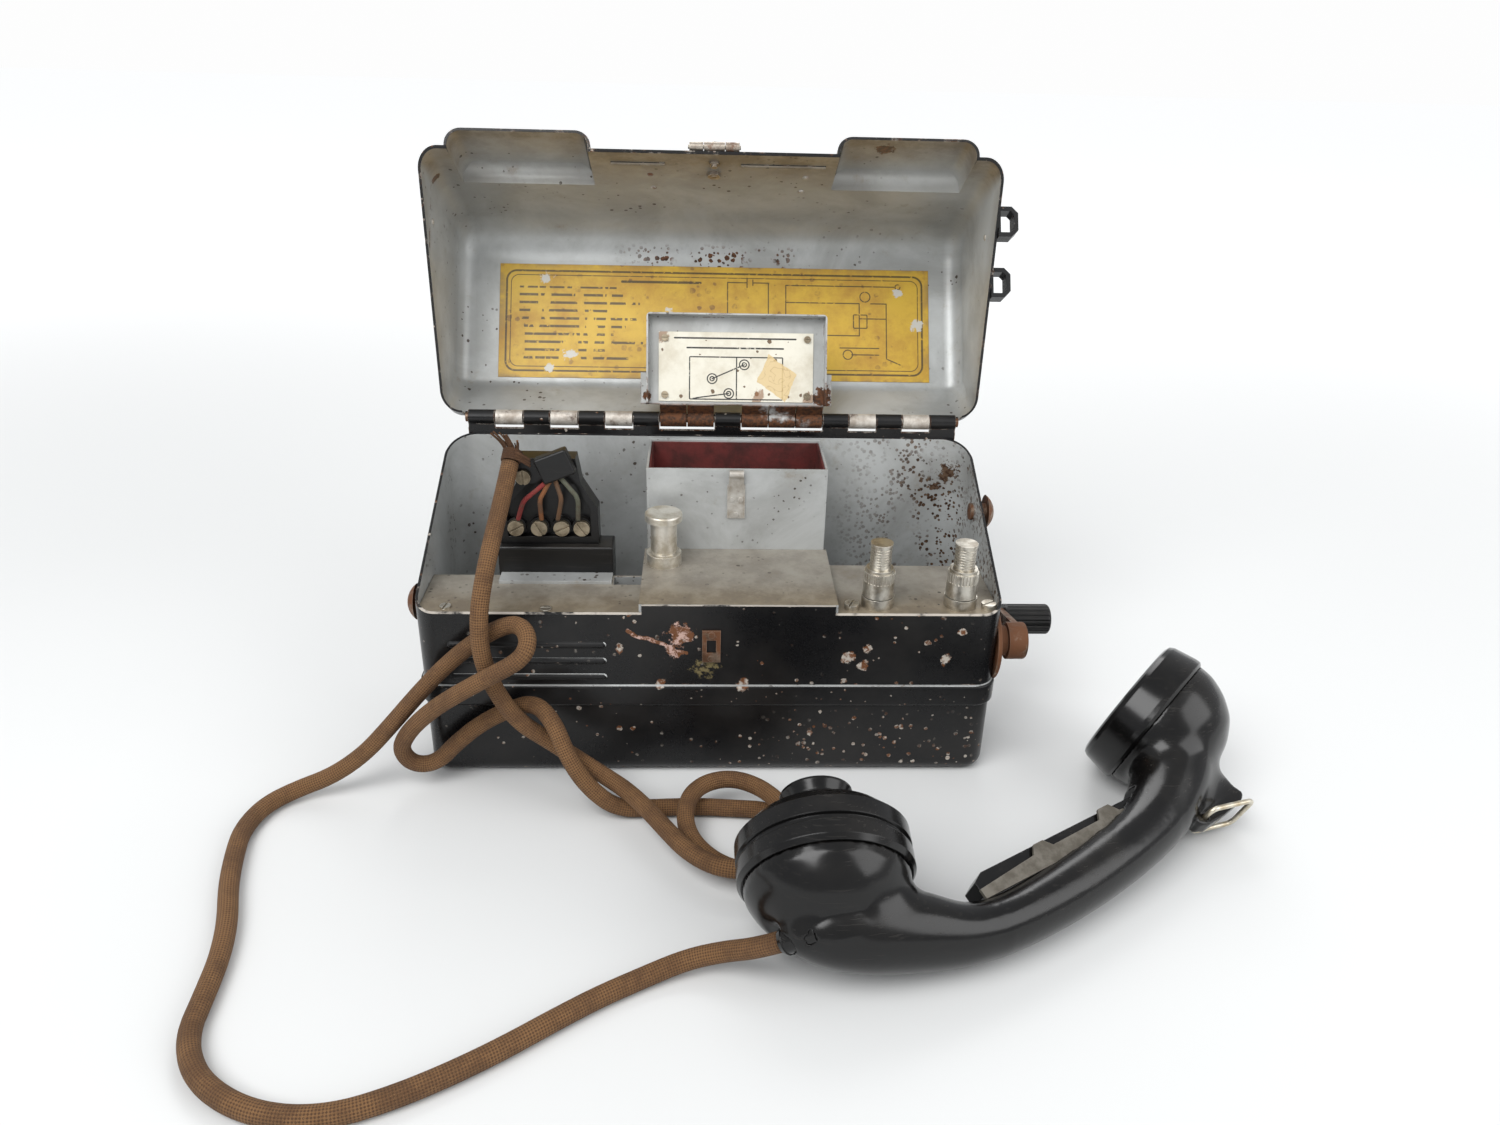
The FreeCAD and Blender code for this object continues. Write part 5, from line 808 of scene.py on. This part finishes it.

# %% [markdown]
# ## The cord's braid
# Cotton threads cross over and under each other round the cord, and old ones are fuzzy and dark with
# grease. Two waves across the tube's map, multiplied, give the crossings without any extra mesh, and
# the hollows between the crossings are painted dark as shade.

# %% Cord finish
THREADS = 11.0
# Each tint's dark colour is both the painted shade in the weave's hollows and the grease.
GOLDEN_BROWN = ((0.070, 0.030, 0.011), (0.215, 0.108, 0.040), (0.34, 0.20, 0.085))
RUSTY_BROWN = ((0.055, 0.022, 0.009), (0.17, 0.075, 0.028), (0.27, 0.14, 0.06))


def woven_finish(name, tint):
    """Two sets of threads that cross over and under each other, painted dark in their hollows as shade. tint
    is dark, light and fuzz.
    """
    f = Finish(name)
    weave = f.node("ShaderNodeUVMap", {"uv_map": "weave"}, {})[0]
    part = f.node("ShaderNodeSeparateXYZ", {}, {"Vector": weave})
    left = ((part["X"] + part["Y"]) * (2 * math.pi * THREADS)).of("SINE")
    right = ((part["X"] - part["Y"]) * (2 * math.pi * THREADS)).of("SINE")
    height = left * right
    fuzz = f.noise(2600.0, 3.0, 0.8)
    cloud = f.noise(55.0, 5.0, 0.7)
    dark, light, pale = tint
    # Painted shade: the weave's low parts between the threads take the dark colour.
    colour = f.mix(f.step(height, -0.7, 0.4), dark, light)
    colour = f.mix(f.step(cloud, 0.42, 0.62) * 0.6, colour, dark)
    colour = f.mix(f.step(fuzz, 0.52, 0.72) * 0.55, colour, pale)
    made = f.node("ShaderNodeBump", {}, {"Height": height * 0.28 + fuzz * 0.8, "Strength": 0.9,
                                         "Distance": 0.0006})
    return f.set(base_color=colour, roughness=0.85, normal=made[0])


dress(woven_finish("cord_weave", GOLDEN_BROWN), woven_cord)
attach(woven_cord, "case")
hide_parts("cord")

# %% [markdown]
# ## Lashing and leads
# At the plug the cord's braid is whipped with twine and frays into a tuft, and four coloured leads
# curve down to the screws. Each strand is a short swept tube. They are joined into one piece for
# the lashing and one for the leads, whose map tells the leads' colours apart.

# %% Lashing and leads
def joined(name, pieces):
    """Joins several meshes into one new piece."""
    shape = bmesh.new()
    for piece in pieces:
        shape.from_mesh(piece.data)
        bpy.data.objects.remove(piece)
    return piece_of(name, shape)


def strand(points, radius, around):
    """A swept tube through a few control points in millimetres."""
    line = line_of([Vector(p) for p in points])
    return sweep("strand", line, radius * MM, around, 2 * math.pi * radius * MM)


TWINE_TURNS = 6
TWINE_STEPS = 14
TWINE_LENGTH = 5.0
TUFT_COUNT = 16
GOLDEN_ANGLE = 2.399
TIE_COUNT = 3

top = Vector(CORD_EXIT)
rise = (top - Vector(CORD_ROUTE[1])).normalized()
side_x = rise.orthogonal().normalized()
side_y = rise.cross(side_x)


def outward(angle):
    """A direction square to the cord's end."""
    return side_x * math.cos(angle) + side_y * math.sin(angle)


twine = []
for k in range(TWINE_TURNS * TWINE_STEPS + 1):
    climb = 0.6 + TWINE_LENGTH * k / (TWINE_TURNS * TWINE_STEPS)
    twine.append(top + rise * climb + outward(2 * math.pi * k / TWINE_STEPS) * (CORD_RADIUS + 0.1))
strands = [strand(twine, 0.55, 8)]
lean = Vector((-0.55, 0.2, 0.8)).normalized()
for k in range(TUFT_COUNT):
    out = outward(GOLDEN_ANGLE * k) * (0.5 + 2.6 * (k / TUFT_COUNT) ** 0.5)
    flare = 1.0 + 0.5 * math.sin(5.1 * k)
    tip = 5.2 + 2.2 * math.sin(3.7 * k)
    foot = top + rise * 2.0 + out * 0.8
    route = [foot, foot + rise * 3.6 + out * 0.2, top + rise * 7.0 + out * flare + lean * tip * 0.5,
             top + rise * 6.5 + out * (flare + 0.5) + lean * tip]
    strands.append(strand(route, 0.42 + 0.1 * math.sin(k), 7))
for k in range(TIE_COUNT):
    lift = k * 1.3 - 1.3
    route = [top + rise * (2.2 + lift), (-85.0, -13.6, 141.6 + lift), (-82.4, -12.8, 140.0 + lift),
             (-79.0, -12.0, 137.2 + lift)]
    strands.append(strand(route, 0.75, 8))
lashing = joined("frayed_lashing", strands)
dress(woven_finish("lashing_weave", RUSTY_BROWN), lashing)
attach(lashing, "case")
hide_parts("cord_lashing")

LEAD_RADIUS = 1.05
LEAD_COLOURS = ((0.20, 0.022, 0.020), (0.19, 0.070, 0.022), (0.11, 0.055, 0.025), (0.085, 0.09, 0.062))
LEAD_ENDS = ((-86.4, -3.2), (-76.0, -2.4), (-68.8, 2.6), (-59.8, 4.2))

leads = []
for k, (x, bow) in enumerate(LEAD_ENDS):
    start = Vector((-73.4 + k * 2.3, -11.4, 127.6 + k * 1.0))
    end = Vector((x, -9.6, 109.6))
    middle = (start + end) / 2 + Vector((bow, -1.8, 1.0))
    route = [start, start.lerp(middle, 0.6), middle, middle.lerp(end, 0.6), end]
    leads.append(strand(route, LEAD_RADIUS, 12))
    for corner in leads[-1].data.uv_layers["weave"].data:
        corner.uv[0] = corner.uv[0] * 0.98 + k
lead_piece = joined("coloured_leads", leads)


def lead_finish(name):
    """Cloth-covered leads: red, orange, brown and grey-green, by whole turns of the map."""
    f = Finish(name)
    weave = f.node("ShaderNodeUVMap", {"uv_map": "weave"}, {})[0]
    part = f.node("ShaderNodeSeparateXYZ", {}, {"Vector": weave})
    cloud = f.noise(180.0, 5.0, 0.7)
    colour = LEAD_COLOURS[0]
    for k, next_colour in enumerate(LEAD_COLOURS[1:], start=1):
        colour = f.mix(part["X"] > k - 0.01, colour, next_colour)
    colour = f.mix(f.step(cloud, 0.42, 0.62) * 0.7, colour, (0.07, 0.045, 0.028))
    f.bump(f.noise(1800.0, 3.0) * 0.8 + cloud, 0.6, 0.0004, 0.1)
    return f.set(base_color=colour, roughness=0.8)


dress(lead_finish("lead_cloth"), lead_piece)
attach(lead_piece, "case")
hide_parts("cord_wires")

# %% [markdown]
# ## The handset's moulding
# The handle was moulded in one with its two cups, so it flows into them without a crease. The solid
# model's crease is filled here: a copy of its mesh is remeshed evenly, and each hollow corner near
# the cups is relaxed outward, which leaves the rounded parts and the sharp seats as they are.

# %% Handset moulding
HAND_AZIMUTH = math.radians(31.5)
HAND_TILT = math.radians(22.0)
MOUTH_CENTRE = (41.2, -141.0, 36.08)
MOUTH_LEAN = math.radians(27.0)
EAR_LEAN = math.radians(16.5)
EAR_CENTRE = (177.0, 5.0)
GLAND = (-32.5, -24.4, -4.0)
GLAND_WAY = (-0.584, 0.373, -0.722)
CELL = 0.0008
ROUNDS = 260
KNOT_ROUNDS = 40
NORMAL_EVERY = 12

hand_length = Vector((math.cos(HAND_AZIMUTH), math.sin(HAND_AZIMUTH), 0.0))
hand_front = Vector((-hand_length.y * math.cos(HAND_TILT), hand_length.x * math.cos(HAND_TILT),
                     math.sin(HAND_TILT)))
hand_side = hand_length.cross(hand_front)


def remeshed(name, source, cell):
    """An even copy of a solid's surface."""
    shape = bmesh.new()
    shape.from_mesh(source.data)
    bmesh.ops.remove_doubles(shape, verts=shape.verts, dist=1e-6)
    piece = piece_of(name, shape)
    change = piece.modifiers.new("even", "REMESH")
    change.mode = "VOXEL"
    change.voxel_size = cell
    bpy.context.view_layer.update()
    even = bpy.data.meshes.new_from_object(piece.evaluated_get(bpy.context.evaluated_depsgraph_get()))
    piece.modifiers.clear()
    piece.data = even
    return piece


def fill_creases(piece, weigh):
    """Relaxes hollow corners outward where weigh gives more than nothing, and knots both ways."""
    mesh = piece.data
    count = len(mesh.vertices)
    place = np.empty(count * 3)
    mesh.vertices.foreach_get("co", place)
    place = place.reshape(-1, 3)
    ends = np.empty(len(mesh.edges) * 2, dtype=np.int64)
    mesh.edges.foreach_get("vertices", ends)
    ends = ends.reshape(-1, 2)
    weight, knot = weigh(place)
    active = (weight[ends[:, 0]] > 0) | (weight[ends[:, 1]] > 0)
    ends = ends[active]
    both = np.concatenate((ends, ends[:, ::-1]))
    links = np.maximum(np.bincount(both[:, 0], minlength=count), 1)
    normal = np.empty(count * 3)
    for turn_count in range(ROUNDS):
        if turn_count % NORMAL_EVERY == 0:
            mesh.vertices.foreach_set("co", place.ravel())
            mesh.update()
            mesh.vertices.foreach_get("normal", normal)
            out = normal.reshape(-1, 3)
        total = np.stack([np.bincount(both[:, 0], weights=place[both[:, 1], i], minlength=count)
                          for i in range(3)], 1)
        move = total / links[:, None] - place
        hollow = (move * out).sum(1) > 0
        inward = 0.7 * knot if turn_count < KNOT_ROUNDS else 0.12
        place = place + move * (weight * np.where(hollow, 0.95, inward))[:, None]
    mesh.vertices.foreach_set("co", place.ravel())
    mesh.update()


def fade(value, low, high):
    """0 below low, 1 above high, smooth between."""
    share = np.clip((value - low) / (high - low), 0.0, 1.0)
    return share * share * (3 - 2 * share)


def near_cups(place):
    """1 where the handle meets the cups, 0 at the caps' seams, the talk bar, the lug and the gland.

    The second mask is 1 where the handle's own end meets the mouth cup.
    """
    local = (place / MM - np.array(MOUTH_CENTRE)) @ np.array((hand_length, hand_front, hand_side)).T
    length, front = local[:, 0], local[:, 1]
    mouth_depth = front * math.cos(MOUTH_LEAN) + length * math.sin(MOUTH_LEAN)
    ear_depth = (front - EAR_CENTRE[1]) * math.cos(EAR_LEAN) - (length - EAR_CENTRE[0]) * math.sin(EAR_LEAN)
    from_gland = local - np.array(GLAND)
    along = from_gland @ np.array(GLAND_WAY)
    off_bore = np.linalg.norm(from_gland - along[:, None] * np.array(GLAND_WAY), axis=1)
    mouth = fade(-mouth_depth, 18.5, 25.0) * (1 - fade(length, 34.0, 42.0)) * fade(off_bore, 4.6, 7.5)
    lug = fade(-front, 50.0, 55.0) * fade(length, 140.0, 148.0)
    ear = fade(-ear_depth, 18.5, 25.0) * fade(length, 139.0, 147.0) * (1 - lug)
    return np.maximum(mouth, ear), mouth * fade(-length, 8.0, 15.0)


moulding = remeshed("handset_moulding", nodes["handset_body"], CELL)
fill_creases(moulding, near_cups)
for face in moulding.data.polygons:
    face.use_smooth = True
dress(handset_finish, moulding)
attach(moulding, "handset")
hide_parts("handset_body")
print("moulding", len(moulding.data.vertices), "vertices")

# %% [markdown]
# ## Small rivets in the lid
# Six low rivet heads stand on the lid's inner walls, where fittings are held from outside. Each is
# a flattened ball half sunk in its wall, placed as if the lid were shut and then swung open with it.

# %% Lid rivets
RIVET_RADIUS = 1.5
RIVET_FLAT = 0.5
FRONT_WALL_Y = -51.8
END_WALL_X = 127.8
FRONT_RIVETS = ((-29.0, 92.0), (-28.0, 106.0), (42.0, 92.0), (41.0, 107.0))
END_RIVETS = ((-END_WALL_X, 98.0), (END_WALL_X, 104.0))
END_RIVET_Y = -30.0

to_hinge = Matrix.Translation(Vector((0, HINGE_Y, HINGE_Z)) * MM)
open_turn = to_hinge @ Matrix.Rotation(-math.radians(LID_OPEN), 4, "X") @ to_hinge.inverted()
rivet_places = [((x, FRONT_WALL_Y, z), "X") for x, z in FRONT_RIVETS]
rivet_places += [((x, END_RIVET_Y, z), "Y") for x, z in END_RIVETS]
rivet_shape = bmesh.new()
for centre, lay_about in rivet_places:
    lie = Matrix.Rotation(math.radians(90), 4, lay_about) @ Matrix.Diagonal((1, 1, RIVET_FLAT, 1))
    bmesh.ops.create_uvsphere(rivet_shape, u_segments=16, v_segments=8, radius=RIVET_RADIUS * MM,
                              matrix=open_turn @ Matrix.Translation(Vector(centre) * MM) @ lie)
for face in rivet_shape.faces:
    face.smooth = True
lid_rivets = piece_of("lid_rivets", rivet_shape)
dress(old_metal("rivet_steel", (0.50, 0.48, 0.44), (0.30, 0.26, 0.21), 0.5, 0.5, 0.4), lid_rivets)
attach(lid_rivets, "lid")

# %% [markdown]
# ## Floor colour and sky
# The floor is pale and matt, and glows a little far from the object, so that it fades into a white
# background without a horizon. The sky is a plain grey that the glossy bakelite mirrors softly, and
# only the camera sees it as white.

# %% Floor and sky finish
floor_finish = Finish("floor_finish")
away = floor_finish.node("ShaderNodeVectorMath", {"operation": "LENGTH"}, {0: floor_finish.place})["Value"]
far_off = floor_finish.step(away, 0.40, 1.7)
glow = floor_finish.mix(far_off, (0.0, 0.0, 0.0), (0.62, 0.62, 0.62))
dress(floor_finish.set(base_color=(0.66, 0.665, 0.66), roughness=0.9, emission_color=glow,
                       emission_strength=1.0), floor)

world = bpy.data.worlds.new("sky")
scene.world = world
world.use_nodes = True
sky_tree = world.node_tree
background = sky_tree.nodes["Background"]
background.inputs["Color"].default_value = (0.95, 0.97, 1.0, 1.0)
background.inputs["Strength"].default_value = 0.55
white = sky_tree.nodes.new("ShaderNodeBackground")
white.inputs["Color"].default_value = (0.985, 0.985, 0.985, 1.0)
seen = sky_tree.nodes.new("ShaderNodeLightPath")
choice = sky_tree.nodes.new("ShaderNodeMixShader")
sky_tree.links.new(seen.outputs["Is Camera Ray"], choice.inputs[0])
sky_tree.links.new(background.outputs[0], choice.inputs[1])
sky_tree.links.new(white.outputs[0], choice.inputs[2])
sky_tree.links.new(choice.outputs[0], sky_tree.nodes["World Output"].inputs["Surface"])
